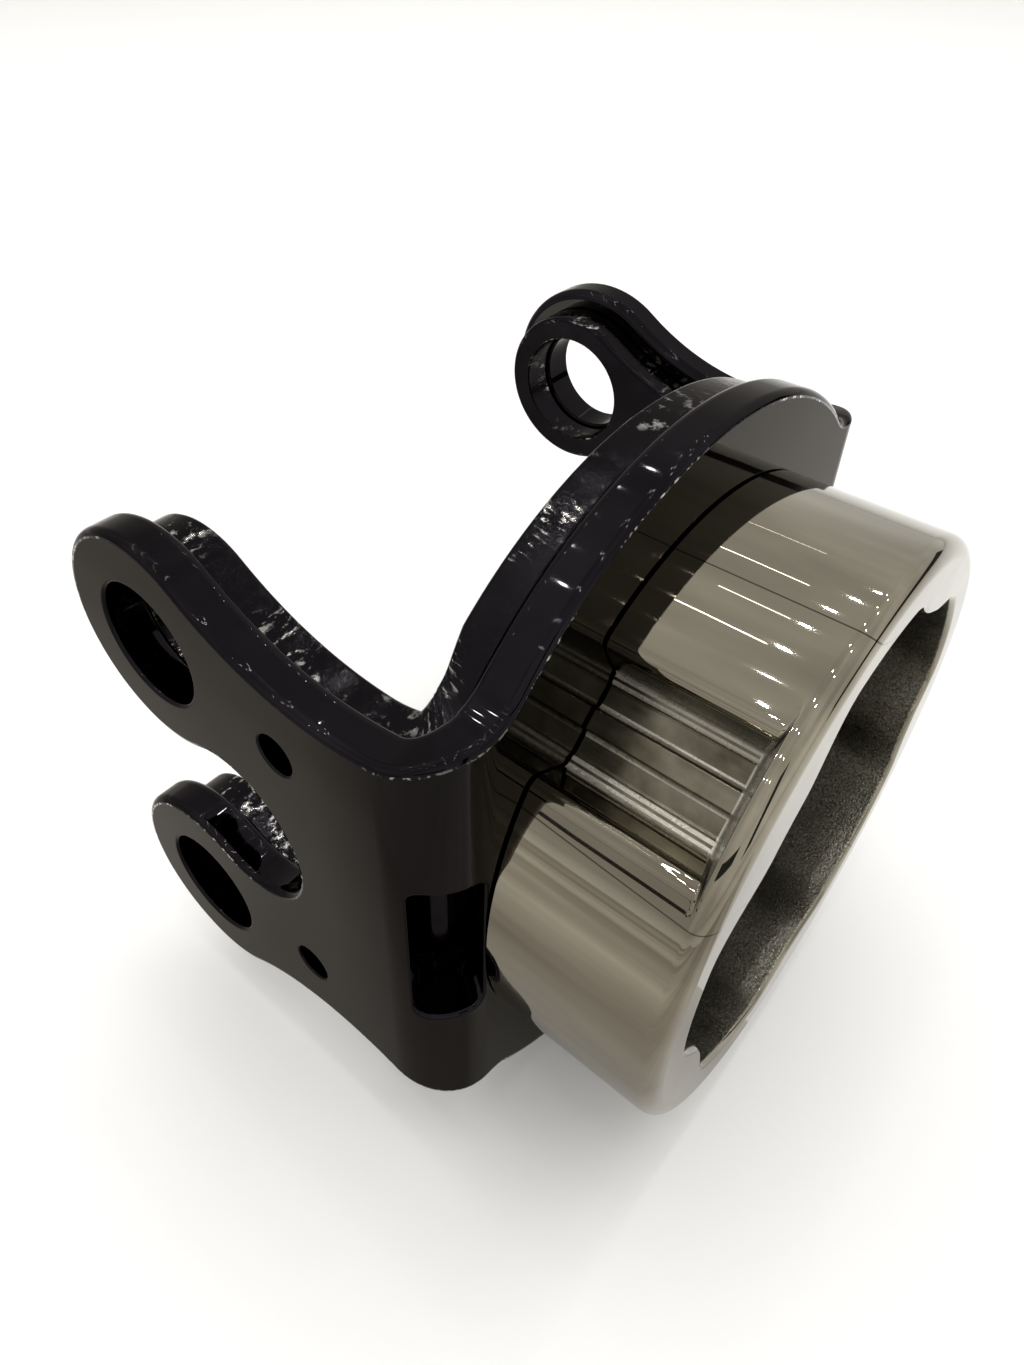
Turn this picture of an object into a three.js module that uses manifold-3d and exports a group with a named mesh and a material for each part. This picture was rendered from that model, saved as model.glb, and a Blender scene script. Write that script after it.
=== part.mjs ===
// Swivel hoist ring: a two-layer clevis yoke with four lugs, and a recessed swivel collar that turns
// on a ball thrust bearing behind the yoke's base. Millimetres, +Z up.
// The design frame has the swivel axis on X with the yoke's collar-side face at X = 0, and the line
// through a pair of lug holes along Y. The last step moves it to the base frame of the whole part.
import * as THREE from 'three';
import { mergeVertices } from 'three/addons/utils/BufferGeometryUtils.js';
import Module from 'manifold-3d';

const wasm = await Module();
wasm.setup();
const { Manifold, Mesh } = wasm;

// ---- driving dimensions -------------------------------------------------------------------------
const HALF_WIDTH = 57;           // outer face of each arm, from the middle
const CORNER_R = 10.4;           // bend between arm and base, on the outside
const MIN_BEND_R = 1.5;          // smallest bend radius of an inner surface
const OUTER_PLATE = 6.5;         // thickness of the yoke body's wall
const LINER_PLATE = 6;           // thickness of the liner's wall
const GAP = 0.3;                 // clearance between pieces that touch on the real object

const LUG = { x: -55.5, z: 28.6, r: 18.3 };     // rounded lug end
const LUG_BORE_R = 10;
const LINER_BORE_R = 10.6;
const NOTCH_X = -42;             // centre of the slot's round root between two lugs
const NECK = { x: -20, z: 36.3 };               // narrowest place of an arm
const KEEPER_HOLE = { x: -28.8, z: 25.1, r: 3.3 };
const FLANGE_R = 60.8;           // round edge of the base
const FLANGE_FILLET = 8;         // hollow blend from the round edge to the arm's edge
const LINER_INSET = { arm: 3.4, flange: 2 };    // the liner's outline inside the body's
const POCKET = { width: 10, height: 30, angle: 52, round: 2 };  // window in each corner bend

const COLLAR = { x0: 0.4, length: 27.3, r: 48.4, rim: 2.8, web: 4 };
const COLLAR_END = COLLAR.x0 + COLLAR.length;
const RECESS = {
  angle: 134, floorR: 38.5, ribR: 39.6, floorEnd: 22, topEnd: 24.6, floorHalf: 7, topHalf: 9.3 };
const BORE_R = 40.5;
const PADS = 5;                  // raised pads in the bore, the first one behind the recess
const RECESS_PAD = { rise: 6.1, flat: 6, reach: 28 };   // angles in degrees
const PLAIN_PAD = { rise: 3.6, flat: 1.5, reach: 21 };

const HUB = { r: 24, bore: 17, end: -29, flangeR: 33.8, flange: 4.8 };
const BASE_HOLE_R = 27;
const BUSH = { r: 26.7, bore: 24.08 };
const HUB_SCREW = { count: 6, pcdR: 29, shank: 2, head: 3.5, headH: 4, hole: 2.3 };
const LINER_SCREW = { count: 4, pcdR: 42.5, shank: 2, head: 3.9, headH: 2, hole: 2.3 };
const SEAL = { r: 35.5, tube: 1.1, grooveHalf: 1.3, groove: 2.4 };

const RACE = { inner: 25.5, outer: 39, thick: 2.2, grooveR: 3.1 };
const BALL = { count: 16, r: 3, pitchR: 33, space: 4.6 };
const CAGE = { inner: 28.3, outer: 38.3, thick: 2.4, pocket: 3.15 };
const SPRING = { inner: 24.4, outer: 31, rise: 1.3, thick: 1 };
const RING = { inner: 22.7, outer: 27.4, thick: 1.6, gap: 14, earR: 2.1, earHole: 0.9 };

const TURN = 2 * Math.PI;
const ROUND = 48;                // segments of a large circle
const HIDDEN_ROUND = 36;         // segments of a large circle inside the bearing
const SMALL_ROUND = 16;          // segments of a small circle
const BENDS = 6;                 // segments of a corner bend

// ---- derived places along the swivel axis ---------------------------------------------------------
const LINER_OUT = OUTER_PLATE + GAP;
const LINER_IN = LINER_OUT + LINER_PLATE;
const FIXED_RACE_X = -LINER_IN - GAP;
const BALL_X = FIXED_RACE_X - RACE.thick - BALL.space / 2;
const SWIVEL_RACE_X = BALL_X - BALL.space / 2;
const SPRING_X = SWIVEL_RACE_X - RACE.thick - GAP;
const RING_X = SPRING_X - SPRING.rise - SPRING.thick - GAP;
const HUB_SEAT_X = COLLAR.x0 + COLLAR.web + GAP;
const HUB_TOP_X = HUB_SEAT_X + HUB.flange;

// ---- materials ------------------------------------------------------------------------------------
const steel = (color, roughness) => new THREE.MeshStandardMaterial({ color, roughness, metalness: 1 });
const BLACK_PLATE = steel(0x1c1a1d, 0.12);
const BLACK_LINER = steel(0x201e20, 0.3);
const CHROME = steel(0xc9c6bd, 0.06);
const MACHINED = steel(0x8d8b86, 0.4);
const BEARING = steel(0xb4b2ad, 0.15);
const SCREW_STEEL = steel(0x3a3a3c, 0.45);
const BRONZE = steel(0xa9793f, 0.4);
const CAGE_BRASS = steel(0xbf9a4a, 0.35);
const RUBBER = new THREE.MeshStandardMaterial({ color: 0x151515, roughness: 0.8, metalness: 0 });

// ---- solids -----------------------------------------------------------------------------------------
function solid(geometry) {
  let bare = geometry.clone();
  for (const name of Object.keys(bare.attributes)) {
    if (name !== 'position') bare.deleteAttribute(name);
  }
  bare = mergeVertices(bare, 1e-4);
  const vertProperties = new Float32Array(bare.attributes.position.array);
  const triVerts = new Uint32Array(bare.index.array);
  return new Manifold(new Mesh({ numProp: 3, vertProperties, triVerts }));
}

function piece(group, name, shape, material) {
  const mesh = shape.getMesh();
  const geometry = new THREE.BufferGeometry();
  geometry.setAttribute('position', new THREE.BufferAttribute(new Float32Array(mesh.vertProperties), 3));
  geometry.setIndex(new THREE.BufferAttribute(new Uint32Array(mesh.triVerts), 1));
  const node = new THREE.Mesh(geometry, material);
  node.name = name;
  group.add(node);
  return node;
}

// A flat outline (a, b) pushed along X, where a lies along Y and b along Z.
function alongX(points, x0, x1) {
  const flat = new THREE.ExtrudeGeometry(new THREE.Shape(points), { depth: x1 - x0, bevelEnabled: false });
  const basis = new THREE.Matrix4().makeBasis(
    new THREE.Vector3(0, 1, 0), new THREE.Vector3(0, 0, 1), new THREE.Vector3(1, 0, 0));
  return solid(flat.applyMatrix4(basis)).translate([x0, 0, 0]);
}

// A flat outline (a, b) pushed along Y, where a lies along X and b along Z.
function alongY(points, y0, y1) {
  const flat = new THREE.ExtrudeGeometry(new THREE.Shape(points), { depth: y1 - y0, bevelEnabled: false });
  const basis = new THREE.Matrix4().makeBasis(
    new THREE.Vector3(1, 0, 0), new THREE.Vector3(0, 0, 1), new THREE.Vector3(0, -1, 0));
  return solid(flat.applyMatrix4(basis)).translate([0, y1, 0]);
}

// A flat outline (a, b) pushed along Z, where a lies along X and b along Y.
function alongZ(points, z0, z1) {
  const flat = new THREE.ExtrudeGeometry(new THREE.Shape(points), { depth: z1 - z0, bevelEnabled: false });
  return solid(flat).translate([0, 0, z0]);
}

const point = (a, b) => new THREE.Vector2(a, b);

function arc(centreA, centreB, radius, from, to, steps) {
  const points = [];
  for (let i = 0; i <= steps; i += 1) {
    const angle = from + ((to - from) * i) / steps;
    points.push(point(centreA + radius * Math.cos(angle), centreB + radius * Math.sin(angle)));
  }
  return points;
}

const degrees = (value) => THREE.MathUtils.degToRad(value);

function rod(radius, from, to, axis, segments = SMALL_ROUND) {
  const length = to - from;
  const upright = new THREE.CylinderGeometry(radius, radius, length, segments);
  if (axis === 'x') upright.rotateZ(-Math.PI / 2);
  if (axis === 'z') upright.rotateX(Math.PI / 2);
  const middle = (from + to) / 2;
  const place = { x: [middle, 0, 0], y: [0, middle, 0], z: [0, 0, middle] }[axis];
  return solid(upright).translate(place);
}

// A ring turned about X from a closed (x, radius) profile.
function turned(profile, segments = ROUND) {
  const closed = profile.map(([x, r]) => point(r, x));
  closed.push(closed[0].clone());
  const lathe = new THREE.LatheGeometry(closed, segments).rotateZ(-Math.PI / 2);
  const shape = solid(lathe);
  return shape.volume() > 0 ? shape : solid(flipped(lathe));
}

function flipped(geometry) {
  const copy = geometry.clone();
  const index = copy.index.array;
  for (let i = 0; i < index.length; i += 3) {
    [index[i], index[i + 1]] = [index[i + 1], index[i]];
  }
  return copy;
}

function ring(inner, outer, x0, x1, segments = HIDDEN_ROUND) {
  return turned([[x0, inner], [x0, outer], [x1, outer], [x1, inner]], segments);
}

function cutAll(body, cutters) {
  return cutters.reduce((left, cutter) => left.subtract(cutter), body);
}

// ---- yoke outlines ------------------------------------------------------------------------------------
// The bend radius of the U surface that lies depth below the yoke's outer faces.
const bendRadius = (depth) => Math.max(CORNER_R - depth, MIN_BEND_R);

function uPath(depth, open) {
  const side = HALF_WIDTH - depth;
  const bend = bendRadius(depth);
  const lower = arc(-depth - bend, -side + bend, bend, -Math.PI / 2, 0, BENDS);
  const upper = arc(-depth - bend, side - bend, bend, 0, Math.PI / 2, BENDS);
  return [point(open, -side), ...lower, ...upper, point(open, side)];
}

function uShell(outerDepth, innerDepth) {
  const open = LUG.x - LUG.r - 1;
  const outline = [...uPath(outerDepth, open), ...uPath(innerDepth, open).reverse()];
  return alongZ(outline, -FLANGE_R - 1, FLANGE_R + 1);
}

// Side view of an arm. Every edge moves in by the inset, and the arcs stay tangent.
function armOutline(inset) {
  const lugR = LUG.r - inset;
  const notchR = Math.hypot(LUG.x - NOTCH_X, LUG.z) - lugR;
  const rise = NECK.z - LUG.z;
  const dx = NECK.x - LUG.x;
  const neckR = (dx * dx + rise * rise - LUG.r * LUG.r) / (2 * (LUG.r - rise)) + inset;
  const neckZ = NECK.z + neckR - inset;
  const toLug = Math.atan2(LUG.z - neckZ, LUG.x - NECK.x);
  const baseAngle = -Math.acos(-NECK.x / neckR);
  const notchToLug = Math.atan2(LUG.z, LUG.x - NOTCH_X);
  const neck = arc(NECK.x, neckZ, neckR, baseAngle, toLug, 10);
  const lug = arc(LUG.x, LUG.z, lugR, toLug + Math.PI, notchToLug + Math.PI, 20);
  const notch = arc(NOTCH_X, 0, notchR, notchToLug, 0, 10);
  const upper = [...neck, ...lug.slice(1), ...notch.slice(1)];
  const lower = upper.slice(0, -1).reverse().map((p) => point(p.x, -p.y));
  return [...upper, ...lower];
}

// Front view of the base: a round flange that blends into the arm's edge near each corner.
function baseOutline(inset) {
  const radius = FLANGE_R - inset.flange;
  const fillet = FLANGE_FILLET + inset.flange;
  const edge = armOutline(inset.arm)[0].y;
  const filletY = Math.sqrt((radius + fillet) ** 2 - (edge + fillet) ** 2);
  const touch = Math.atan2(edge + fillet, filletY);
  const quarter = [
    ...arc(filletY, edge + fillet, fillet, -Math.PI / 2, touch - Math.PI, 8),
    ...arc(0, 0, radius, touch, Math.PI / 2, 16).slice(1),
  ];
  const left = quarter.slice(0, -1).reverse().map((p) => point(-p.x, p.y));
  const top = [...quarter, ...left];
  const bottom = top.map((p) => point(-p.x, -p.y));
  return [...top, ...bottom];
}

function bentPlate(outerDepth, innerDepth, inset) {
  const arms = alongY(armOutline(inset.arm), -HALF_WIDTH - 1, HALF_WIDTH + 1);
  const base = alongX(baseOutline(inset), -innerDepth, 1);
  return uShell(outerDepth, innerDepth).intersect(arms.add(base));
}

function lugHoles(radius) {
  const full = HALF_WIDTH + 2;
  const upper = rod(radius, -full, full, 'y', 28).translate([LUG.x, 0, LUG.z]);
  const lower = rod(radius, -full, full, 'y', 28).translate([LUG.x, 0, -LUG.z]);
  return [upper, lower];
}

function keeperHoles() {
  const full = HALF_WIDTH + 2;
  const hole = rod(KEEPER_HOLE.r, -full, full, 'y');
  return [KEEPER_HOLE.z, -KEEPER_HOLE.z].map((z) => hole.translate([KEEPER_HOLE.x, 0, z]));
}

// A rounded slot through the bend, looking along the line from the bend's centre outwards.
function cornerPocket(side) {
  const halfW = POCKET.width / 2 - POCKET.round;
  const halfH = POCKET.height / 2 - POCKET.round;
  const corners = [[halfW, halfH], [-halfW, halfH], [-halfW, -halfH], [halfW, -halfH]];
  const outline = corners.flatMap(([a, b], i) => (
    arc(a, b, POCKET.round, (i * Math.PI) / 2, ((i + 1) * Math.PI) / 2, 5)));
  const slot = alongX(outline, 0, 3 * CORNER_R);
  const turn = side * (90 - POCKET.angle);
  return slot.rotate([0, 0, turn]).translate([-CORNER_R, side * (HALF_WIDTH - CORNER_R), 0]);
}

// ---- yoke pieces --------------------------------------------------------------------------------------
function screwPlaces(screw, start) {
  return Array.from({ length: screw.count }, (_, i) => {
    const angle = degrees(start + (360 * i) / screw.count);
    return [0, screw.pcdR * Math.cos(angle), screw.pcdR * Math.sin(angle)];
  });
}

const LINER_SCREW_PLACES = screwPlaces(LINER_SCREW, 45);
const HUB_SCREW_PLACES = screwPlaces(HUB_SCREW, 30);
const LINER_SCREW_TIP = -1.6;

function yokeBody() {
  const holes = [...lugHoles(LUG_BORE_R), ...keeperHoles(), cornerPocket(1), cornerPocket(-1)];
  holes.push(rod(BASE_HOLE_R, -LINER_IN, 1, 'x', ROUND));
  const blind = rod(LINER_SCREW.hole, -LINER_OUT, LINER_SCREW_TIP + GAP, 'x');
  LINER_SCREW_PLACES.forEach((place) => holes.push(blind.translate(place)));
  return cutAll(bentPlate(0, OUTER_PLATE, { arm: 0, flange: 0 }), holes);
}

function countersink(extra) {
  const { shank, head, headH } = LINER_SCREW;
  const back = -LINER_IN + GAP;
  const tip = LINER_SCREW_TIP;
  const profile = [
    [back, 0], [back, head + extra], [back + headH, shank + extra], [tip + extra, shank + extra],
    [tip + extra, 0]];
  return turned(profile, SMALL_ROUND);
}

function yokeLiner() {
  const holes = [...lugHoles(LINER_BORE_R), ...keeperHoles()];
  holes.push(rod(BASE_HOLE_R, -LINER_IN - 1, 0, 'x', ROUND));
  const mouth = rod(LINER_SCREW.head + GAP, -LINER_IN - 1, -LINER_IN + GAP, 'x');
  LINER_SCREW_PLACES.forEach((place) => {
    holes.push(countersink(GAP).translate(place));
    holes.push(mouth.translate(place));
  });
  return cutAll(bentPlate(LINER_OUT, LINER_IN, LINER_INSET), holes);
}

function hexKey(acrossCorners, x0, x1) {
  return rod(acrossCorners, x0, x1, 'x', 6);
}

function linerScrew() {
  return countersink(0).subtract(hexKey(1.5, -LINER_IN, -LINER_IN + GAP + 1.3));
}

function addYoke(group) {
  piece(group, 'yoke_body', yokeBody(), BLACK_PLATE);
  piece(group, 'yoke_liner', yokeLiner(), BLACK_LINER);
  LINER_SCREW_PLACES.forEach((place, i) => {
    piece(group, `liner_screw_${i + 1}`, linerScrew().translate(place), SCREW_STEEL);
  });
  const bush = ring(BUSH.bore, BUSH.r, -LINER_IN, -GAP, ROUND);
  piece(group, 'radial_bush', bush, BRONZE);
}

// ---- swivel collar and hub ------------------------------------------------------------------------------
// The bore is round with raised pads, the tallest one behind the outside recess.
function boreOutline() {
  const steps = 96;
  const points = [];
  for (let i = 0; i < steps; i += 1) {
    const angle = (360 * i) / steps;
    const radius = boreRadius(angle);
    points.push(point(radius * Math.cos(degrees(angle)), radius * Math.sin(degrees(angle))));
  }
  return points;
}

function boreRadius(angle) {
  const sector = 360 / PADS;
  const turn = (angle - RECESS.angle + 360 + sector / 2) % 360;
  const pad = turn < sector ? RECESS_PAD : PLAIN_PAD;
  const off = Math.abs((turn % sector) - sector / 2);
  if (off >= pad.reach) return BORE_R;
  const t = Math.max(off - pad.flat, 0) / (pad.reach - pad.flat);
  return BORE_R - (pad.rise * (1 + Math.cos(Math.PI * t))) / 2;
}

// One recess cutter on the +Z side of the collar, open towards the yoke.
function recessCutter() {
  const { floorR, ribR, floorEnd, topEnd, floorHalf, topHalf } = RECESS;
  const top = COLLAR.r + 4;
  const slope = (topHalf - floorHalf) / (COLLAR.r - floorR);
  const wide = floorHalf + slope * (top - floorR);
  const rib = 1.5;
  const outline = [
    point(-wide, top), point(-floorHalf, floorR + 1), point(-floorHalf + 1, floorR),
    point(-rib - 0.4, floorR), point(-rib, ribR), point(rib, ribR), point(rib + 0.4, floorR),
    point(floorHalf - 1, floorR), point(floorHalf, floorR + 1), point(wide, top)];
  const lean = (topEnd - floorEnd) / (COLLAR.r - floorR);
  const side = [
    point(-1, 0), point(floorEnd, 0), point(floorEnd, floorR),
    point(floorEnd + lean * (top - floorR), top), point(-1, top)];
  return alongX(outline, -1, topEnd + 6).intersect(alongY(side, -wide - 1, wide + 1));
}

function rimProfile() {
  const { x0, r, rim } = COLLAR;
  const corner = arc(COLLAR_END - rim, r - rim, rim, Math.PI / 2, 0, 8).map((p) => [p.x, p.y]);
  return [[x0, HUB.r + GAP], [x0, r - 0.5], [x0 + 0.5, r], ...corner, [COLLAR_END, HUB.r + GAP]];
}

function swivelCollar() {
  const { x0, web } = COLLAR;
  const cutters = [alongX(boreOutline(), x0 + web, COLLAR_END + 1)];
  cutters.push(recessCutter().rotate([RECESS.angle - 90, 0, 0]));
  cutters.push(ring(SEAL.r - SEAL.grooveHalf, SEAL.r + SEAL.grooveHalf, x0 - 1, x0 + SEAL.groove));
  const tapped = rod(HUB_SCREW.hole, x0 - 1, x0 + web + 1, 'x');
  HUB_SCREW_PLACES.forEach((place) => cutters.push(tapped.translate(place)));
  return cutAll(turned(rimProfile()), cutters);
}

function swivelHub() {
  const grooveR = RING.inner - GAP;
  const chamfer = 0.8;
  const profile = [
    [HUB.end, HUB.bore + chamfer], [HUB.end, HUB.r - chamfer], [HUB.end + chamfer, HUB.r],
    [RING_X - RING.thick - GAP, HUB.r], [RING_X - RING.thick - GAP, grooveR],
    [RING_X + GAP, grooveR], [RING_X + GAP, HUB.r], [HUB_SEAT_X, HUB.r], [HUB_SEAT_X, HUB.flangeR],
    [HUB_TOP_X - chamfer, HUB.flangeR], [HUB_TOP_X, HUB.flangeR - chamfer],
    [HUB_TOP_X, HUB.bore + chamfer], [HUB_TOP_X - chamfer, HUB.bore], [HUB.end + chamfer, HUB.bore]];
  const hole = rod(HUB_SCREW.hole, HUB_SEAT_X - 1, HUB_TOP_X + 1, 'x');
  return cutAll(turned(profile), HUB_SCREW_PLACES.map((place) => hole.translate(place)));
}

function hubScrew() {
  const { shank, head, headH } = HUB_SCREW;
  const under = HUB_TOP_X + GAP;
  const profile = [
    [COLLAR.x0 + GAP, 0], [COLLAR.x0 + GAP, shank], [under, shank], [under, head],
    [under + headH - 0.4, head], [under + headH, head - 0.4], [under + headH, 0]];
  const key = hexKey(1.7, under + headH - 2.2, under + headH + 1);
  return turned(profile, SMALL_ROUND).subtract(key);
}

function dustSeal() {
  const tube = arc(0, 0, SEAL.tube, 0, TURN, 8).slice(0, -1);
  const middle = COLLAR.x0 + SEAL.tube - 0.05;
  return turned(tube.map((p) => [middle + p.x, SEAL.r + p.y]), HIDDEN_ROUND);
}

function addSwivel(group) {
  piece(group, 'swivel_collar', swivelCollar(), CHROME);
  piece(group, 'swivel_hub', swivelHub(), MACHINED);
  HUB_SCREW_PLACES.forEach((place, i) => {
    piece(group, `hub_screw_${i + 1}`, hubScrew().translate(place), SCREW_STEEL);
  });
  piece(group, 'dust_seal', dustSeal(), RUBBER);
}

// ---- thrust bearing and retainer --------------------------------------------------------------------------
// A race whose ball track faces the balls: facing is -1 for the race on the yoke, +1 for the other.
function race(backX, inner, facing) {
  const faceX = backX - RACE.thick;
  const track = facing < 0 ? faceX : backX;
  const back = facing < 0 ? backX : faceX;
  const depth = Math.abs(BALL_X - track);
  const half = Math.sqrt(RACE.grooveR ** 2 - depth ** 2);
  const start = Math.atan2(half, track - BALL_X);
  const end = facing < 0 ? -start : TURN - start;
  const groove = arc(BALL_X, BALL.pitchR, RACE.grooveR, start, end, 4).map((p) => [p.x, p.y]);
  const profile = [
    [back, inner], [back, RACE.outer], [track, RACE.outer], ...groove, [track, inner]];
  return turned(profile, HIDDEN_ROUND);
}

function ballPlace(i) {
  const angle = (TURN * i) / BALL.count;
  return [BALL_X, BALL.pitchR * Math.cos(angle), BALL.pitchR * Math.sin(angle)];
}

function ballCage() {
  const half = CAGE.thick / 2;
  const plate = ring(CAGE.inner, CAGE.outer, BALL_X - half, BALL_X + half);
  const pocket = rod(CAGE.pocket, BALL_X - half - 1, BALL_X + half + 1, 'x');
  const places = Array.from({ length: BALL.count }, (_, i) => ballPlace(i));
  return cutAll(plate, places.map(([, y, z]) => pocket.translate([0, y, z])));
}

function discSpring() {
  const { inner, outer, rise, thick } = SPRING;
  return turned([
    [SPRING_X - rise - thick, inner], [SPRING_X - rise, inner],
    [SPRING_X, outer], [SPRING_X - thick, outer]], HIDDEN_ROUND);
}

function retainingRing() {
  const { inner, outer, thick, gap, earR, earHole } = RING;
  const half = degrees(gap / 2);
  const shape = [
    ...arc(0, 0, outer, half, TURN - half, 40), ...arc(0, 0, inner, TURN - half, half, 40)];
  const x1 = RING_X;
  const x0 = RING_X - thick;
  let clip = alongX(shape, x0, x1);
  const earMiddle = outer + earR * 0.3;
  for (const side of [1, -1]) {
    const angle = side * (half + degrees(4));
    const place = [0, earMiddle * Math.cos(angle), earMiddle * Math.sin(angle)];
    clip = clip.add(rod(earR, x0, x1, 'x').translate(place));
    clip = clip.subtract(rod(earHole, x0 - 1, x1 + 1, 'x').translate(place));
  }
  return clip;
}

function addBearing(fixed, rolling, turning) {
  piece(fixed, 'thrust_race_fixed', race(FIXED_RACE_X, RACE.inner, -1), BEARING);
  piece(rolling, 'ball_cage', ballCage(), CAGE_BRASS);
  const ball = solid(new THREE.SphereGeometry(BALL.r, 12, 6));
  for (let i = 0; i < BALL.count; i += 1) {
    const name = `bearing_ball_${String(i + 1).padStart(2, '0')}`;
    piece(rolling, name, ball.translate(ballPlace(i)), BEARING);
  }
  piece(turning, 'thrust_race_swivel', race(SWIVEL_RACE_X, HUB.r + GAP, 1), BEARING);
  piece(turning, 'disc_spring', discSpring(), MACHINED);
  piece(turning, 'retaining_ring', retainingRing(), SCREW_STEEL);
}

// ---- the whole part ------------------------------------------------------------------------------------------
function hoistRing() {
  const part = new THREE.Group();
  const yoke = new THREE.Group();
  const rolling = new THREE.Group();
  const swivel = new THREE.Group();
  addYoke(yoke);
  addSwivel(swivel);
  addBearing(yoke, rolling, swivel);
  part.add(yoke, rolling, swivel);
  const lowX = LUG.x - LUG.r;
  part.position.set(-(lowX + COLLAR_END) / 2, 0, FLANGE_R);
  const whole = new THREE.Group();
  whole.add(part);
  whole.updateMatrixWorld(true);
  return whole;
}

export default hoistRing();
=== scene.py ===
"""Swivel hoist ring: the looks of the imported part. Pieces are made in millimetres in the part's own
design frame (X along the swivel axis with the yoke's collar-side face at 0, Z up) and placed by the
frame's boxes in the row frame, in metres."""

from math import asin, atan2, cos, degrees, hypot, pi, radians, sin, sqrt

import bmesh
import bpy
from mathutils import Matrix, Quaternion, Vector
from mathutils.geometry import tessellate_polygon


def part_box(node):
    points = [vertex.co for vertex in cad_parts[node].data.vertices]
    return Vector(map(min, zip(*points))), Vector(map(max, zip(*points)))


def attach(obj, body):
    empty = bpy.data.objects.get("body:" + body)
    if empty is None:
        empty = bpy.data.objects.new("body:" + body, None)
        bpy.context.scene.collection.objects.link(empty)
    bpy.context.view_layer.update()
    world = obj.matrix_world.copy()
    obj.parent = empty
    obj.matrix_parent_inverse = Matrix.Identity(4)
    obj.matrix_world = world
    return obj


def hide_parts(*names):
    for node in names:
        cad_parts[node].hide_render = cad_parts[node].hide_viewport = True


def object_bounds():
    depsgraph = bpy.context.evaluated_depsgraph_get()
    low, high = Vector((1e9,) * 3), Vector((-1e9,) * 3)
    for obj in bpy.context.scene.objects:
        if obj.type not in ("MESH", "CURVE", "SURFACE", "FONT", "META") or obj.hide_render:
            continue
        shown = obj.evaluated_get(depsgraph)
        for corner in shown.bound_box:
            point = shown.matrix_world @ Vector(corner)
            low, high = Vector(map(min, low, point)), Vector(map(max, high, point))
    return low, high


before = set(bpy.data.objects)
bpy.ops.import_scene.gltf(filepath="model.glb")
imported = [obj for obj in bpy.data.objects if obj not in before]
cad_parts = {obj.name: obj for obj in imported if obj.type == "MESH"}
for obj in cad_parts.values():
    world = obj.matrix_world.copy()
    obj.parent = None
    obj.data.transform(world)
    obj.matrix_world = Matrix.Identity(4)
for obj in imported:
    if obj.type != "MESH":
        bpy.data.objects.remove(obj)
cad_low, cad_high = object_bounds()

# ---- driving dimensions, in millimetres
MM = 0.001
TURN = 2 * pi
HALF_WIDTH = 57.0
CORNER_R = 10.4
MIN_BEND_R = 1.5
OUTER_PLATE = 6.5
LINER_PLATE = 6.0
GAP = 0.3
LINER_OUT = OUTER_PLATE + GAP
LINER_IN = LINER_OUT + LINER_PLATE

LUG_X, LUG_Z, LUG_R = -55.5, 28.6, 18.3
LUG_BORE_R = 10.0
LINER_BORE_R = 10.6
NOTCH_X = -42.0
NECK_X, NECK_Z = -20.0, 36.3
KEEPER_X, KEEPER_Z, KEEPER_R = -28.8, 25.1, 3.3
FLANGE_R = 60.8
FLANGE_FILLET = 8.0
LINER_INSET_ARM, LINER_INSET_FLANGE = 3.4, 2.0
POCKET_WIDTH, POCKET_HEIGHT, POCKET_ANGLE, POCKET_ROUND = 10.0, 30.0, 52.0, 2.0
POCKET_INNER_REACH = (3.3, 3.1)      # how far the window reaches past the bend on the inner face
BASE_HOLE_R = 27.0
LINER_SCREW_PCR, LINER_SCREW_HEAD, LINER_SCREW_HEAD_H, LINER_SCREW_HOLE = 42.5, 3.9, 2.0, 2.3
LINER_SCREW_SHANK, LINER_SCREW_SOCKET, LINER_SCREW_SOCKET_DEPTH, LINER_SCREW_TIP_X = 2.0, 1.5, 1.3, -1.95
LINER_SCREW_ANGLES = [radians(45 + 90 * i) for i in range(4)]

COLLAR_X0, COLLAR_LENGTH, COLLAR_R, COLLAR_RIM, COLLAR_WEB = 0.4, 27.3, 48.4, 2.8, 4.0
COLLAR_END = COLLAR_X0 + COLLAR_LENGTH
COLLAR_LIP = 0.12                    # how far the mesh's back edge stands out, for a thin shadow gap
RECESS_ANGLE = 134.0
RECESS_FLOOR, RECESS_RIB = 38.5, 39.6
RECESS_FLOOR_END, RECESS_TOP_END = 22.0, 24.6
RECESS_FLOOR_HALF, RECESS_TOP_HALF = 7.0, 9.3
RECESS_RIB_HALF, RECESS_RIB_FOOT = 1.5, 1.9
RECESS_STEP_IN, RECESS_STEP_OUT, RECESS_STEP_RISE, RECESS_FOOT_RISE = 5.0, 5.6, 0.5, 0.7
RECESS_ROUNDING = (0, 0.25, 0.5, 0.4, 0.6, 1.0, 3.0, 0)
WALL_FOOT_R, WALL_TOP_R, WALL_LEAST_RUN = 0.6, 3.0, 0.35
BORE_R, BORE_MOUTH, BORE_FOOT = 40.5, 0.9, 1.2
PADS = 5
RECESS_PAD = (6.1, 6.0, 28.0)        # rise in mm, then half of the flat and half of the whole in degrees
PLAIN_PAD = (3.6, 1.5, 21.0)
SEAL_GROOVE_HALF, SEAL_GROOVE_DEPTH = 1.3, 2.4

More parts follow.
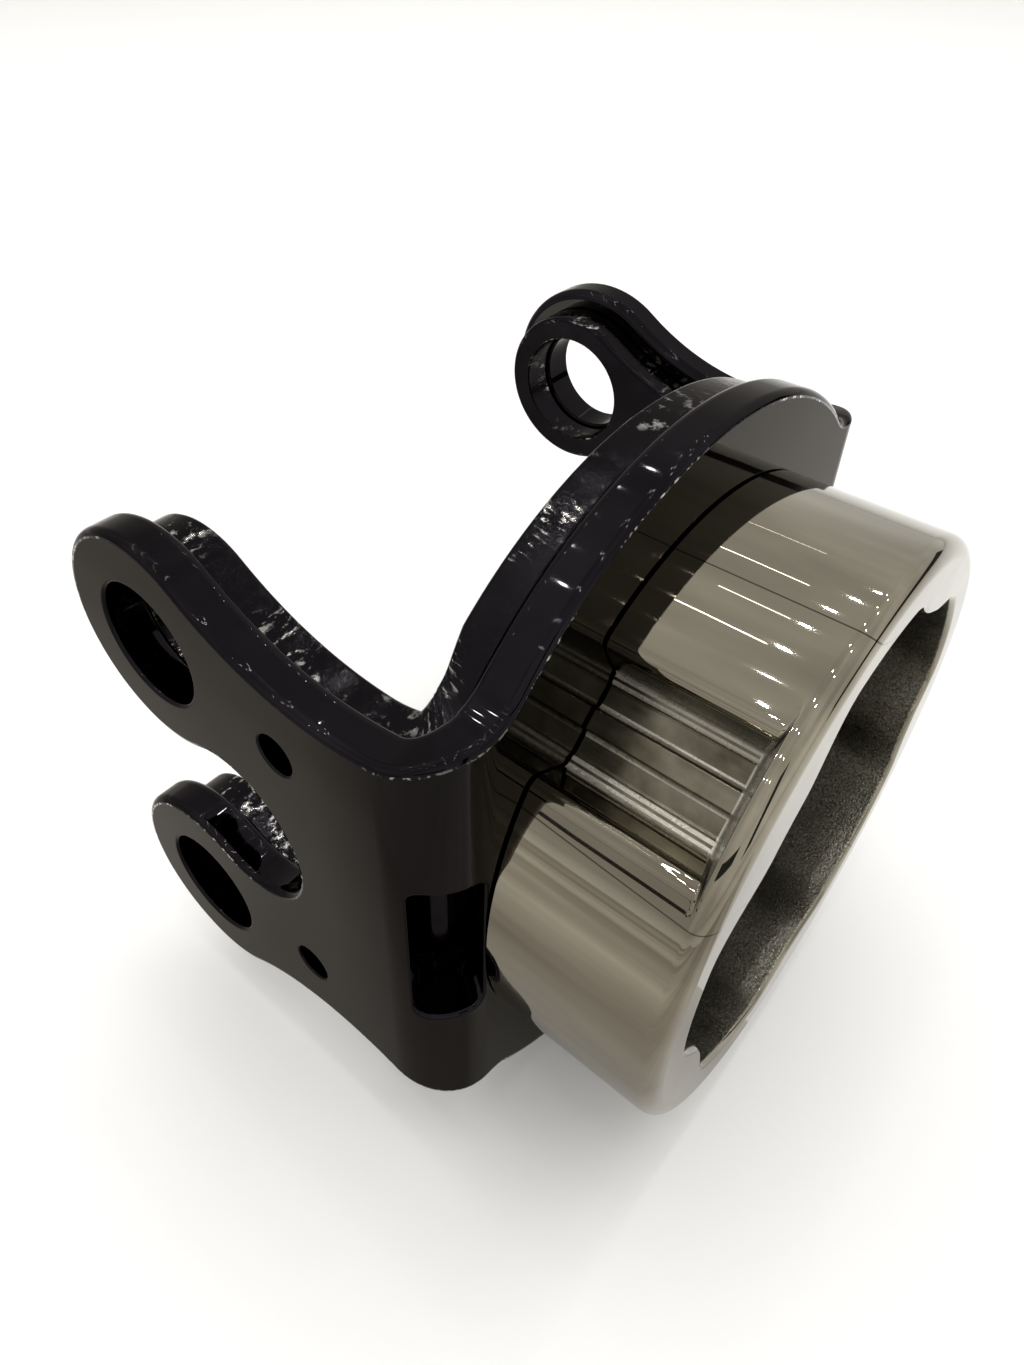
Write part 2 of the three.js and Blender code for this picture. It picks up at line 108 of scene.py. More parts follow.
HUB_R, HUB_BORE, HUB_END, HUB_FLANGE_R, HUB_FLANGE = 24.0, 17.0, -29.0, 33.8, 4.8
HUB_CHAMFER = 0.8
HUB_SCREWS, HUB_SCREW_PCR, HUB_SCREW_FIRST = 6, 29, 30
HUB_SCREW_HEAD, HUB_SCREW_HEAD_H, HUB_SCREW_SHANK = 3.5, 4.0, 2.0
HUB_SCREW_SOCKET, HUB_SCREW_SOCKET_DEPTH = 1.7, 2.2
BUSH_R, BUSH_BORE = 26.7, 24.08
SEAL_R, SEAL_TUBE = 35.5, 1.1
RACE_INNER, RACE_OUTER, RACE_THICK, RACE_GROOVE = 25.5, 39.0, 2.2, 3.1
BALLS, BALL_R, BALL_PITCH, BALL_SPACE, BALL_SEGMENTS = 16, 3.0, 33.0, 4.6, 40
CAGE_INNER, CAGE_OUTER, CAGE_THICK, CAGE_POCKET = 28.3, 38.3, 2.4, 3.15
SPRING_INNER, SPRING_OUTER, SPRING_RISE, SPRING_THICK = 24.4, 31.0, 1.3, 1.0
RING_INNER, RING_OUTER, RING_THICK, RING_GAP = 22.7, 27.4, 1.6, 14.0
RING_EAR_R, RING_EAR_HOLE = 2.1, 0.9

FIXED_RACE_X = -LINER_IN - GAP
BALL_X = FIXED_RACE_X - RACE_THICK - BALL_SPACE / 2
SWIVEL_RACE_X = BALL_X - BALL_SPACE / 2
SPRING_X = SWIVEL_RACE_X - RACE_THICK - GAP
RING_X = SPRING_X - SPRING_RISE - SPRING_THICK - GAP
HUB_SEAT_X = COLLAR_X0 + COLLAR_WEB + GAP
HUB_TOP_X = HUB_SEAT_X + HUB_FLANGE

BEND_LENGTH = CORNER_R * pi / 2      # of the yoke's outer face, at each corner
BEND_START = HALF_WIDTH - CORNER_R   # distance from the middle, along the unrolled plate
BEND_STOP = BEND_START + BEND_LENGTH
EASE = 8.6                           # stretch on each side of a bend that takes up its change of radius
BEND_STEPS = 18
BEND_CUTS = [
    side * (BEND_START + BEND_LENGTH * i / BEND_STEPS) for side in (1, -1) for i in range(BEND_STEPS + 1)]
EASE_CUTS = [side * s for side in (1, -1) for s in (BEND_START - EASE, BEND_STOP + EASE)]
CREASE = 0.02                        # keeps the two sides of a sharp edge apart in the mesh
LONGEST_CUT = 0.45                   # the most that rounding a corner takes of either side

# The collar's mesh: columns round it, and the rows of a column where each kind of face ends.
CORNER_STEPS = 5
RECESS_MIDDLE, PLAIN_COLUMNS = 37, 272
RIDGE_CORNERS = (2, 4, 5)            # of the recess's cross-section, counted from the middle of its floor
RECESS_DEEP = 1.6                    # columns less than this above the floor belong to the recess
BACK_ROWS, FLOOR_ROWS, WALL_ROWS, BRIGHT_ROWS = 5, 9, 16, 37

RIM, OUTER_CAP, INNER_CAP, GLINT = range(4)              # the kinds of face of a plate
BRIGHT, DULL, FLOOR, RIDGED = range(4)                   # the collar's skins

# ---- the stage, in metres
LENS, SENSOR, SHIFT = 25.81, 36, (0.0218, -0.0732)
CAMERA_PLACE, CAMERA_LOOK, CAMERA_ROLL = (0.0692, -0.10507, 0.1835), (-0.49855, 0.59885, -0.62676), 0.6
FLOOR_HALF, FLOOR_STEPS, FLOOR_DROP = 3.0, 8, 0.0002
OBJECT_MIDDLE = Vector((0, 0, 0.06))
SOFT_PLACE, SOFT_SIDE, SOFT_POWER = (0.1, 0.1, 1.6), 1.4, 15
LAMP_HEIGHT, LAMP_SIDE, LAMP_POWER = 1.15, 0.012, 0.13
LAMP_ROWS, LAMP_COLUMNS, LAMP_PITCH, LAMP_MIDDLE = 9, 5, (0.3, 0.22), (-0.2, 0.1)
STRIP_WIDTH = 0.007
STRIPS = (                           # x, y, length, power
    (-0.34, 0.69, 0.17, 0.05), (-0.3, 0.08, 0.16, 0.05), (-0.27, 0.32, 0.1, 0.015), (-0.45, 1.3, 0.2, 0.03))
CARDS = (                            # place, width, height
    ((0.75, 0.8, 0.12), 1.1, 0.16), ((0.75, -0.35, 0.42), 0.12, 0.5), ((0.3, -0.75, 0.4), 0.5, 0.1),
    ((-0.5, -0.8, 0.2), 1.0, 0.018), ((-0.5, -0.8, 0.27), 1.0, 0.012))
MAT_SIZE, MAT_MIDDLE, MAT_RISE = (0.9, 0.7), (-0.15, -0.35), 0.001
WORLD_RANGE, WORLD_TINT = (0.72, 1.14), (1.0, 0.985, 0.95)

BLACK_EDGE_TINT = (0.6, 0.59, 0.58)  # how far the black coats mirror at a low angle

YOKE_LOW, YOKE_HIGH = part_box("yoke_body")
FACE_X = YOKE_HIGH.x
AXIS_Z = (YOKE_LOW.z + YOKE_HIGH.z) / 2


def placed(x, y, z):
    """A place of the design frame in the row frame, in metres."""
    return Vector((FACE_X + x * MM, y * MM, AXIS_Z + z * MM))


# ---- nodes
class Shader:
    """A node material with a Principled shader and short calls for what the finishes share."""

    def __init__(self, name, color, metallic, roughness):
        self.material = bpy.data.materials.new(name)
        self.material.use_nodes = True
        self.nodes = self.material.node_tree.nodes
        self.links = self.material.node_tree.links
        self.bsdf = self.nodes["Principled BSDF"]
        self.bsdf.inputs["Base Color"].default_value = (*color, 1)
        self.bsdf.inputs["Metallic"].default_value = metallic
        self.bsdf.inputs["Roughness"].default_value = roughness
        self.place = self.nodes.new("ShaderNodeTexCoord").outputs["Object"]

    def mapped(self, scale=(1, 1, 1), move=(0, 0, 0)):
        node = self.nodes.new("ShaderNodeMapping")
        node.inputs["Scale"].default_value = scale
        node.inputs["Location"].default_value = move
        self.links.new(self.place, node.inputs["Vector"])
        return node.outputs["Vector"]

    def noise(self, scale, detail=4, vector=None, roughness=0.55):
        node = self.nodes.new("ShaderNodeTexNoise")
        node.inputs["Scale"].default_value = scale
        node.inputs["Detail"].default_value = detail
        node.inputs["Roughness"].default_value = roughness
        self.links.new(vector or self.place, node.inputs["Vector"])
        return node.outputs["Fac"]

    def span(self, value, low, high, to_low=0, to_high=1):
        node = self.nodes.new("ShaderNodeMapRange")
        for key, number in (("From Min", low), ("From Max", high), ("To Min", to_low), ("To Max", to_high)):
            node.inputs[key].default_value = number
        self.links.new(value, node.inputs["Value"])
        return node.outputs["Result"]

    def math(self, operation, a, b):
        node = self.nodes.new("ShaderNodeMath")
        node.operation = operation
        for socket, value in zip(node.inputs, (a, b)):
            if isinstance(value, (int, float)):
                socket.default_value = value
            else:
                self.links.new(value, socket)
        return node.outputs["Value"]

    def mixed(self, factor, first, second):
        """A mix of two colours. The first may be another node's output."""
        node = self.nodes.new("ShaderNodeMix")
        node.data_type = "RGBA"
        if isinstance(first, tuple):
            node.inputs[6].default_value = (*first, 1)
        else:
            self.links.new(first, node.inputs[6])
        node.inputs[7].default_value = (*second, 1)
        self.links.new(factor, node.inputs[0])
        return node.outputs[2]

    def axes(self, vector):
        node = self.nodes.new("ShaderNodeSeparateXYZ")
        self.links.new(vector, node.inputs["Vector"])
        return node.outputs

    def color(self, output):
        self.links.new(output, self.bsdf.inputs["Base Color"])

    def roughness(self, output):
        self.links.new(output, self.bsdf.inputs["Roughness"])

    def bump(self, height, strength, distance):
        node = self.nodes.new("ShaderNodeBump")
        node.inputs["Strength"].default_value = strength
        node.inputs["Distance"].default_value = distance
        self.links.new(height, node.inputs["Height"])
        self.links.new(node.outputs["Normal"], self.bsdf.inputs["Normal"])


def black_coat(name, color, metallic, roughness):
    """A black mirror coat, which stays dark where it is seen at a low angle."""
    s = Shader(name, color, metallic, roughness)
    s.bsdf.inputs["Specular Tint"].default_value = (*BLACK_EDGE_TINT, 1)
    return s


# ---- finishes
def black_plate():
    """Polished black nickel on the flat faces: a dark mirror with faint wiping marks, and painted shade
    that darkens its colour toward the bends."""
    s = black_coat("black_plate", (0.045, 0.043, 0.038), 1, 0.06)
    along = s.axes(s.place)["X"]
    # painted shade: the colour drops toward the bends and is set lighter again on the flange's outer face
    arm = s.span(along, FACE_X - 0.022, FACE_X - 0.009, 1, 0.12)
    base = s.span(along, FACE_X - 0.001, FACE_X - 0.0002, 0, 0.75)
    cloud = s.span(s.noise(28, 3), 0.3, 0.7, 0.8, 1.1)
    shade = s.math("MULTIPLY", s.math("ADD", arm, base), cloud)
    s.color(s.mixed(shade, (0.012, 0.0105, 0.0115), (0.058, 0.056, 0.051)))
    smear = s.noise(60, 5, s.mapped((1, 0.4, 1.6)))
    s.roughness(s.span(smear, 0.35, 0.75, 0.03, 0.09))
    s.bump(s.noise(35, 2), 0.06, 0.0004)
    return s.material


def black_rim():
    """The buffed edges and bores, a deeper black than the faces as painted shade, with a trace of violet.
    """
    # painted shade: a darker copy of the faces' black coat, standing in for the dark the edges reflect
    s = black_coat("black_rim", (0.012, 0.011, 0.0125), 1, 0.05)
    cloud = s.noise(45, 4)
    s.color(s.mixed(s.span(cloud, 0.3, 0.7), (0.009, 0.0082, 0.0092), (0.016, 0.0143, 0.017)))
    s.roughness(s.span(s.noise(80, 4), 0.35, 0.75, 0.02, 0.05))
    s.bump(s.noise(60, 3), 0.05, 0.0004)
    return s.material


def rim_glint():
    """The thin line where a buffed edge meets a face, dotted with painted highlights."""
    s = Shader("rim_glint", (0.02, 0.019, 0.02), 1, 0.12)
    glint_specks = s.span(s.noise(1100, 3), 0.53, 0.61)
    reach = s.span(s.noise(26, 2), 0.45, 0.58)
    # painted highlight: near-white dots in patches along the edge, for lamps reflected there
    s.color(s.mixed(s.math("MULTIPLY", glint_specks, reach), (0.014, 0.013, 0.014), (0.85, 0.83, 0.8)))
    s.roughness(s.span(glint_specks, 0, 1, 0.08, 0.3))
    s.bump(glint_specks, 0.1, 0.0001)
    return s.material


def black_liner():
    """The liner's black coat on its faces."""
    s = black_coat("black_liner", (0.012, 0.011, 0.013), 1, 0.12)
    cloud = s.noise(70, 5)
    s.color(s.mixed(s.span(cloud, 0.3, 0.7), (0.008, 0.0072, 0.0085), (0.018, 0.0162, 0.0195)))
    s.roughness(s.span(s.noise(160, 4), 0.3, 0.7, 0.06, 0.18))
    s.bump(cloud, 0.1, 0.0003)
    return s.material


def liner_rim():
    """The liner's cut edge under its coat: fine ribs across it, with painted highlights on them in patches.
    """
    s = black_coat("liner_rim", (0.014, 0.013, 0.015), 1, 0.1)
    ribs = s.noise(2600, 4, s.mapped((0.16, 0.16, 1)), 0.65)
    patches = s.span(s.noise(70, 3), 0.48, 0.6)
    painted_glints = s.math("MULTIPLY", s.span(ribs, 0.55, 0.64), patches)
    # painted highlight: pale dashes in the colour where the ribs would catch the lamps
    s.color(s.mixed(painted_glints, (0.01, 0.009, 0.0105), (0.5, 0.49, 0.47)))
    s.roughness(s.span(ribs, 0.3, 0.7, 0.06, 0.16))
    s.bump(ribs, 0.25, 0.0002)
    return s.material


def bright_chrome():
    """Hard chrome over a ground surface: slow waves, pale haze, hair scratches and a few long scores."""
    s = Shader("bright_chrome", (0.285, 0.258, 0.2), 1, 0.04)
    haze = s.noise(55, 5, s.mapped((0.22, 1, 1)))
    clean = s.mixed(s.span(haze, 0.32, 0.66), (0.172, 0.153, 0.118), (0.3, 0.275, 0.217))
    line = s.noise(24, 1, s.mapped((0.05, 1, 1), (0.4, 0.2, 0.1)))
    off = s.math("ABSOLUTE", s.math("SUBTRACT", line, 0.53), 0)
    s.color(s.mixed(s.span(off, 0.0008, 0.002, 1, 0), clean, (0.07, 0.06, 0.045)))
    hair = s.noise(300, 3, s.mapped((0.08, 1, 1)))
    s.roughness(s.span(hair, 0.4, 0.8, 0.015, 0.06))
    s.bump(s.noise(30, 2, s.mapped((0.35, 1, 1))), 0.1, 0.0006)
    return s.material


def satin_chrome():
    """The unpolished chrome inside the collar's bore: grainy and soft."""
    s = Shader("satin_chrome", (0.5, 0.48, 0.43), 1, 0.3)
    grain = s.noise(2600, 3)
    drift = s.span(s.noise(70, 3), 0.35, 0.65, 0.45, 1)
    tone = s.math("MULTIPLY", s.span(grain, 0.35, 0.75), drift)
    s.color(s.mixed(tone, (0.11, 0.1, 0.078), (0.52, 0.5, 0.42)))
    s.roughness(s.span(s.noise(60, 4), 0.3, 0.7, 0.2, 0.34))
    s.bump(grain, 0.35, 0.00015)
    return s.material


def recess_chrome():
    """The recess floor: thin chrome over a rough surface, brown-grey and brushed along the axis."""
    s = Shader("recess_chrome", (0.4, 0.38, 0.33), 1, 0.2)
    cloud = s.noise(160, 5)
    s.color(s.mixed(s.span(cloud, 0.3, 0.7), (0.075, 0.066, 0.045), (0.2, 0.185, 0.142)))
    brush = s.noise(500, 3, s.mapped((0.06, 1, 1)))
    s.roughness(s.span(brush, 0.3, 0.7, 0.12, 0.3))
    s.bump(brush, 0.15, 0.0003)
    return s.material


def ridge_chrome():
    """A lighter, partly matt copy of the chrome on the recess's small edges and its end wall, as painted
    highlight for the bright lines they show.
    """
    # painted highlight: lighter colour with some diffuse, so these edges read as bright lines
    s = Shader("ridge_chrome", (0.5, 0.47, 0.4), 0.6, 0.28)
    cloud = s.noise(220, 4)
    s.color(s.mixed(s.span(cloud, 0.35, 0.65), (0.32, 0.3, 0.25), (0.4, 0.378, 0.32)))
    s.roughness(s.span(s.noise(500, 3), 0.3, 0.7, 0.2, 0.34))
    s.bump(cloud, 0.1, 0.0002)
    return s.material


def machined(name, dark, light, low, high, ring_scale):
    """Turned metal: fine circular tool marks about the swivel axis over a cloudy colour."""
    s = Shader(name, light, 1, high)
    cloud = s.noise(120, 4)
    s.color(s.mixed(s.span(cloud, 0.3, 0.7), dark, light))
    apart = s.axes(s.mapped((1, 1, 1), (0, 0, -AXIS_Z)))
    across = s.math("POWER", apart["Y"], 2.0)
    upward = s.math("POWER", apart["Z"], 2.0)
    radius = s.math("SQRT", s.math("ADD", across, upward), 0)
    lines = s.nodes.new("ShaderNodeTexNoise")
    lines.noise_dimensions = "1D"
    lines.inputs["Scale"].default_value = ring_scale
    lines.inputs["Detail"].default_value = 3
    s.links.new(s.math("ADD", radius, apart["X"]), lines.inputs["W"])
    s.roughness(s.span(lines.outputs["Fac"], 0.3, 0.7, low, high))
    s.bump(lines.outputs["Fac"], 0.2, 0.0002)
    return s.material


def seal_rubber():
    """Matt black nitrile with a fine grain."""
    s = Shader("seal_rubber", (0.02, 0.02, 0.02), 0, 0.7)
    grain = s.noise(1500, 3)
    s.color(s.mixed(grain, (0.012, 0.012, 0.013), (0.035, 0.035, 0.036)))
    s.bump(grain, 0.3, 0.0002)
    return s.material


def floor_finish():
    s = Shader("pale_floor", (0.75, 0.75, 0.74), 0, 0.9)
    s.bsdf.inputs["Specular IOR Level"].default_value = 0.1
    s.color(s.mixed(s.noise(6, 2), (0.745, 0.745, 0.738), (0.765, 0.765, 0.758)))
    return s.material


BLACK_PLATE = black_plate()
BLACK_RIM = black_rim()
RIM_GLINT = rim_glint()
BLACK_LINER = black_liner()
LINER_RIM = liner_rim()
CHROME = bright_chrome()
SATIN = satin_chrome()
RECESS_SKIN = recess_chrome()
RIDGE = ridge_chrome()
MACHINED = machined("machined_steel", (0.22, 0.215, 0.21), (0.42, 0.41, 0.4), 0.2, 0.42, 2500)
BEARING = machined("bearing_steel", (0.5, 0.49, 0.48), (0.68, 0.67, 0.66), 0.06, 0.16, 1500)
SCREW_STEEL = machined("screw_steel", (0.03, 0.03, 0.032), (0.075, 0.074, 0.075), 0.28, 0.46, 3000)
BRONZE = machined("bronze", (0.42, 0.25, 0.11), (0.6, 0.38, 0.18), 0.25, 0.42, 2000)
CAGE_BRASS = machined("cage_brass", (0.55, 0.38, 0.14), (0.72, 0.53, 0.22), 0.22, 0.36, 2200)
RUBBER = seal_rubber()


def added(name, data):
    obj = bpy.data.objects.new(name, data)
    bpy.context.scene.collection.objects.link(obj)
    return obj


# ---- pieces
def piece(name, points, faces, materials, body, node, face_material=None, loop_normals=None):
    """A closed mesh from points in the design frame. It rides on its body and stands for its CAD node."""
    mesh = bpy.data.meshes.new(name)
    mesh.from_pydata([placed(*p) for p in points], [], faces)
    for material in materials:
        mesh.materials.append(material)
    if face_material:
        mesh.polygons.foreach_set("material_index", face_material)
    mesh.polygons.foreach_set("use_smooth", [True] * len(mesh.polygons))
    if loop_normals:
        mesh.normals_split_custom_set(loop_normals)
    mesh.update()
    obj = added(name, mesh)
    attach(obj, body)
    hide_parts(node)
    return obj


def outward(obj, sharp=35):
    """Turns the faces outward and keeps edges steeper than sharp degrees crisp."""
    bm = bmesh.new()
    bm.from_mesh(obj.data)
    bmesh.ops.recalc_face_normals(bm, faces=bm.faces)
    for edge in bm.edges:
        edge.smooth = edge.calc_face_angle(0) < radians(sharp)
    bm.to_mesh(obj.data)
    bm.free()
    soften = obj.modifiers.new("weighted", "WEIGHTED_NORMAL")
    soften.keep_sharp = True
    soften.weight = 80
    return obj


# ---- yoke: flat outlines along the unrolled plate
def bend_radius(depth):
    """The radius of a corner bend at a depth below the outer face."""
    return max(CORNER_R - depth, MIN_BEND_R)


def rolled(s, z, depth):
    """The place and the outward direction of a point of the unrolled plate."""
    a = abs(s)
    side = 1 if s >= 0 else -1
    r = bend_radius(depth)
    centre = depth + r
    flat_end = HALF_WIDTH - centre
    if a <= BEND_START - EASE:
        x, y, theta = -depth, a, 0.0
    elif a <= BEND_START:
        t = (a - BEND_START + EASE) / EASE
        x, y, theta = -depth, BEND_START - EASE + t * (flat_end - BEND_START + EASE), 0.0
    elif a <= BEND_STOP:
        theta = (a - BEND_START) / CORNER_R
        x, y = -centre + r * cos(theta), flat_end + r * sin(theta)
    elif a <= BEND_STOP + EASE:
        t = (a - BEND_STOP) / EASE
        x, y, theta = -centre + t * (centre - CORNER_R - EASE), HALF_WIDTH - depth, pi / 2
    else:
        x, y, theta = -CORNER_R - (a - BEND_STOP), HALF_WIDTH - depth, pi / 2
    return Vector((x, side * y, z)), Vector((cos(theta), side * sin(theta), 0))


def arc(ca, cb, r, start, stop, steps):
    """Points on a circle's arc about (ca, cb), both ends included."""
    return [
        (ca + r * cos(start + (stop - start) * i / steps), cb + r * sin(start + (stop - start) * i / steps))
        for i in range(steps + 1)
    ]


def arm_s(x):
    """The distance along the unrolled plate of a point on an arm at x."""
    return BEND_STOP - CORNER_R - x


class ArmShape:
    """The arcs of an arm's edge, moved in by inset."""

    def __init__(self, inset):
        rise, dx = NECK_Z - LUG_Z, NECK_X - LUG_X
        neck_r = (dx * dx + rise * rise - LUG_R * LUG_R) / (2 * (LUG_R - rise))
        self.lug_r = LUG_R - inset
        self.notch_r = hypot(LUG_X - NOTCH_X, LUG_Z) - self.lug_r
        self.neck_r = neck_r + inset
        self.neck_z = NECK_Z + neck_r
        self.to_lug = atan2(LUG_Z - self.neck_z, LUG_X - NECK_X)
        self.notch_to_lug = atan2(LUG_Z, LUG_X - NOTCH_X)

    def neck_height(self, x):
        return self.neck_z - sqrt(self.neck_r**2 - (x - NECK_X) ** 2)


def quarter_outline(inset_arm, inset_flange):
    """From the flange's top, round the corner bend and the lug, to the slot between two lugs, as (s, z)."""
    shape = ArmShape(inset_arm)
    radius, fillet = FLANGE_R - inset_flange, FLANGE_FILLET + inset_flange
    edge = shape.neck_height(0)
    fillet_y = sqrt((radius + fillet) ** 2 - (edge + fillet) ** 2)
    touch = atan2(edge + fillet, fillet_y)
    points = arc(0, 0, radius, pi / 2, touch, 44)
    for y, z in arc(fillet_y, edge + fillet, fillet, touch - pi, -pi / 2, 14)[1:]:
        over = max(y - BEND_START, 0)
        points.append((min(y, BEND_START) + CORNER_R * asin(over / CORNER_R), z))
    for i in range(1, BEND_STEPS + 1):
        theta = i * pi / 2 / BEND_STEPS
        s = BEND_START + CORNER_R * theta
        if s > points[-1][0] + 0.3:
            points.append((s, shape.neck_height(-CORNER_R * (1 - cos(theta)))))
    start = asin((-CORNER_R - NECK_X) / shape.neck_r) - pi / 2
    neck = arc(NECK_X, shape.neck_z, shape.neck_r, start, shape.to_lug, 30)
    lug = arc(LUG_X, LUG_Z, shape.lug_r, shape.to_lug + pi, shape.notch_to_lug + pi, 56)
    notch = arc(NOTCH_X, 0, shape.notch_r, shape.notch_to_lug, 0, 24)
    points += [(arm_s(x), z) for x, z in neck[1:] + lug[1:] + notch[1:]]
    return points


def mirrored(quarter):
    """The whole outline from its quarter, in order and closed."""
    half = quarter + [(s, -z) for s, z in reversed(quarter[:-1])]
    return half + [(-s, z) for s, z in reversed(half[1:-1])]


def circle(s, z, r, steps=48):
    return [(s + r * cos(TURN * i / steps), z + r * sin(TURN * i / steps)) for i in range(steps)]


def loop_normals_of(points, hole):
    """Unit directions out of the material at each point of a closed flat outline."""
    area = sum(a[0] * b[1] - b[0] * a[1] for a, b in zip(points, points[1:] + points[:1]))
    turn = (1 if area > 0 else -1) * (-1 if hole else 1)
    found = []
    for i, here in enumerate(points):
        before, after = points[i - 1], points[(i + 1) % len(points)]
        u, v = here[0] - before[0], here[1] - before[1]
        p, q = after[0] - here[0], after[1] - here[1]
        lu, lp = hypot(u, v), hypot(p, q)
        n = Vector((v / lu * lp + q / lp * lu, -u / lu * lp - p / lp * lu))
        found.append(n.normalized() * turn)
    return found


def edge_profile(depth, thick, outer_r, inner_r, crisp=0.0, steps=6):
    """Stations (inset, depth, angle) over a plate's edge. The angle turns from the outer to the inner
    face."""
    stations = []
    for i in range(steps + 1):
        a = pi / 2 * i / steps
        shown = crisp + (pi / 2 - crisp) * i / steps
        stations.append((outer_r * (1 - sin(a)), depth + outer_r * (1 - cos(a)), shown))
    for i in range(steps + 1):
        a = pi / 2 * i / steps
        stations.append((inner_r * (1 - cos(a)), depth + thick - inner_r * (1 - sin(a)), pi / 2 + a))
    return stations


def plate_mesh(loops, cuts=()):
    """A plate in (s, z, depth). Each loop is (points, is_hole, stations, spread), and spread widens a hole
    with depth."""
    bm = bmesh.new()
    kind = bm.faces.layers.int.new("kind")
    angle = bm.verts.layers.float.new("angle")
    out_s = bm.verts.layers.float.new("out_s")
    out_z = bm.verts.layers.float.new("out_z")
    caps = ([], [])
    for points, hole, stations, spread in loops:
        normals = loop_normals_of(points, hole)
        rows = []
        for inset, depth, turned_by in stations:
            row = []
            for (s, z), n in zip(points, normals):
                wide = spread(s, depth) if spread else s
                v = bm.verts.new((wide - n.x * inset, z - n.y * inset, depth))
                v[angle], v[out_s], v[out_z] = turned_by, n.x, n.y
                row.append(v)
            rows.append(row)
        for k, (first, second) in enumerate(zip(rows, rows[1:])):
            for i in range(len(points)):
                j = (i + 1) % len(points)
                strip = GLINT if k == 0 and not hole else RIM
                bm.faces.new((first[i], first[j], second[j], second[i]))[kind] = strip
        caps[0].append(rows[0])
        caps[1].append(rows[-1])
    for rows, tag in zip(caps, (OUTER_CAP, INNER_CAP)):
        flat = [v for row in rows for v in row]
        for corners in tessellate_polygon([[Vector((v.co.x, v.co.y, 0)) for v in row] for row in rows]):
            bm.faces.new([flat[c] for c in corners])[kind] = tag
    for s in cuts:
        everything = [*bm.verts, *bm.edges, *bm.faces]
        bmesh.ops.bisect_plane(bm, geom=everything, dist=1e-5, plane_co=(s, 0, 0), plane_no=(1, 0, 0))
    bmesh.ops.recalc_face_normals(bm, faces=bm.faces)
    return bm


def plate_piece(bm, shape, name, materials, body, node):
    """Turns a flat plate into a piece: shape gives the place and the outward direction of each point."""
    kind = bm.faces.layers.int["kind"]
    angle, out_s, out_z = (bm.verts.layers.float[key] for key in ("angle", "out_s", "out_z"))
    bm.verts.index_update()
    bm.faces.ensure_lookup_table()
    places, ups = zip(*(shape(*v.co) for v in bm.verts))
    faces, normals, indexes = [], [], []
    for face in bm.faces:
        faces.append([v.index for v in face.verts])
        wanted = {RIM: 0, GLINT: 2}.get(face[kind], 1)
        indexes.append(wanted if wanted < len(materials) else 0)
        for v in face.verts:
            up = ups[v.index]
            if face[kind] == OUTER_CAP:
                normals.append(up)
            elif face[kind] == INNER_CAP:
                normals.append(-up)
            else:
                side = shape(v.co.x + 0.01, v.co.y, v.co.z)[0] - shape(v.co.x - 0.01, v.co.y, v.co.z)[0]
                edge = side.normalized() * v[out_s] + Vector((0, 0, 1)) * v[out_z]
                normals.append((up * cos(v[angle]) + edge * sin(v[angle])).normalized())
    bm.free()
    first = faces[0]
    a, b, c = (places[i] for i in first[:3])
    if (b - a).cross(c - a).dot(normals[0]) < 0:
        faces, normals = flipped(faces, normals)
    return piece(name, places, faces, materials, body, node, indexes, normals)


def flipped(faces, normals):
    """The faces turned over, with the normals of their corners in the new order."""
    turned_faces, turned_normals, at = [], [], 0
    for face in faces:
        turned_faces.append(face[::-1])
        turned_normals += normals[at : at + len(face)][::-1]
        at += len(face)
    return turned_faces, turned_normals


def pocket_loop(side):
    """A corner window on the outer face, as a rounded slot that crosses the bend."""
    middle = radians(90 - POCKET_ANGLE)
    half = asin(POCKET_WIDTH / 2 / CORNER_R)
    low, high = BEND_START + CORNER_R * (middle - half), BEND_START + CORNER_R * (middle + half)
    s0, s1, h, r = low + POCKET_ROUND, high - POCKET_ROUND, POCKET_HEIGHT / 2 - POCKET_ROUND, POCKET_ROUND
    corners = [(s1, h, 0), (s0, h, pi / 2), (s0, -h, pi), (s1, -h, 1.5 * pi)]
    points = []
    for s, z, start in corners:
        points += arc(s, z, r, start, start + pi / 2, 6)
    return [(side * s, z) for s, z in points], low, high


def pocket_spread(side, low, high):
    """The slot's sides are parallel, so along the unrolled plate it widens with depth."""
    inner_low, inner_high = BEND_START - POCKET_INNER_REACH[0], BEND_STOP + POCKET_INNER_REACH[1]

    def spread(s, depth):
        t = depth / OUTER_PLATE
        new_low, new_high = low + (inner_low - low) * t, high + (inner_high - high) * t
        return side * (new_low + (abs(s) - low) / (high - low) * (new_high - new_low))

    return spread


def yoke_holes(bore, depth, thick, edge):
    """The lug bores, the small holes and the base hole of one of the two plates."""
    stations = edge_profile(depth, thick, edge, edge * 0.7)
    fine = edge_profile(depth, thick, 0.35, 0.25, steps=3)
    loops = []
    for side in (1, -1):
        for up in (1, -1):
            loops.append((circle(side * arm_s(LUG_X), up * LUG_Z, bore, 72), True, stations, None))
            loops.append((circle(side * arm_s(KEEPER_X), up * KEEPER_Z, KEEPER_R, 32), True, fine, None))
    loops.append((circle(0, 0, BASE_HOLE_R, 96), True, fine, None))
    return loops


def make_yoke_body():
    stations = edge_profile(0, OUTER_PLATE, 1.3, 1.7, radians(16))
    loops = [(mirrored(quarter_outline(0, 0)), False, stations, None)]
    loops += yoke_holes(LUG_BORE_R, 0, OUTER_PLATE, 0.6)
    window = edge_profile(0, OUTER_PLATE, 0.7, 0.3, steps=4)
    for side in (1, -1):
        points, low, high = pocket_loop(side)
        loops.append((points, True, window, pocket_spread(side, low, high)))
    bm = plate_mesh(loops, BEND_CUTS + EASE_CUTS)
    skins = [BLACK_RIM, BLACK_PLATE, RIM_GLINT]
    return plate_piece(bm, rolled, "yoke_body_plate", skins, "yoke", "yoke_body")


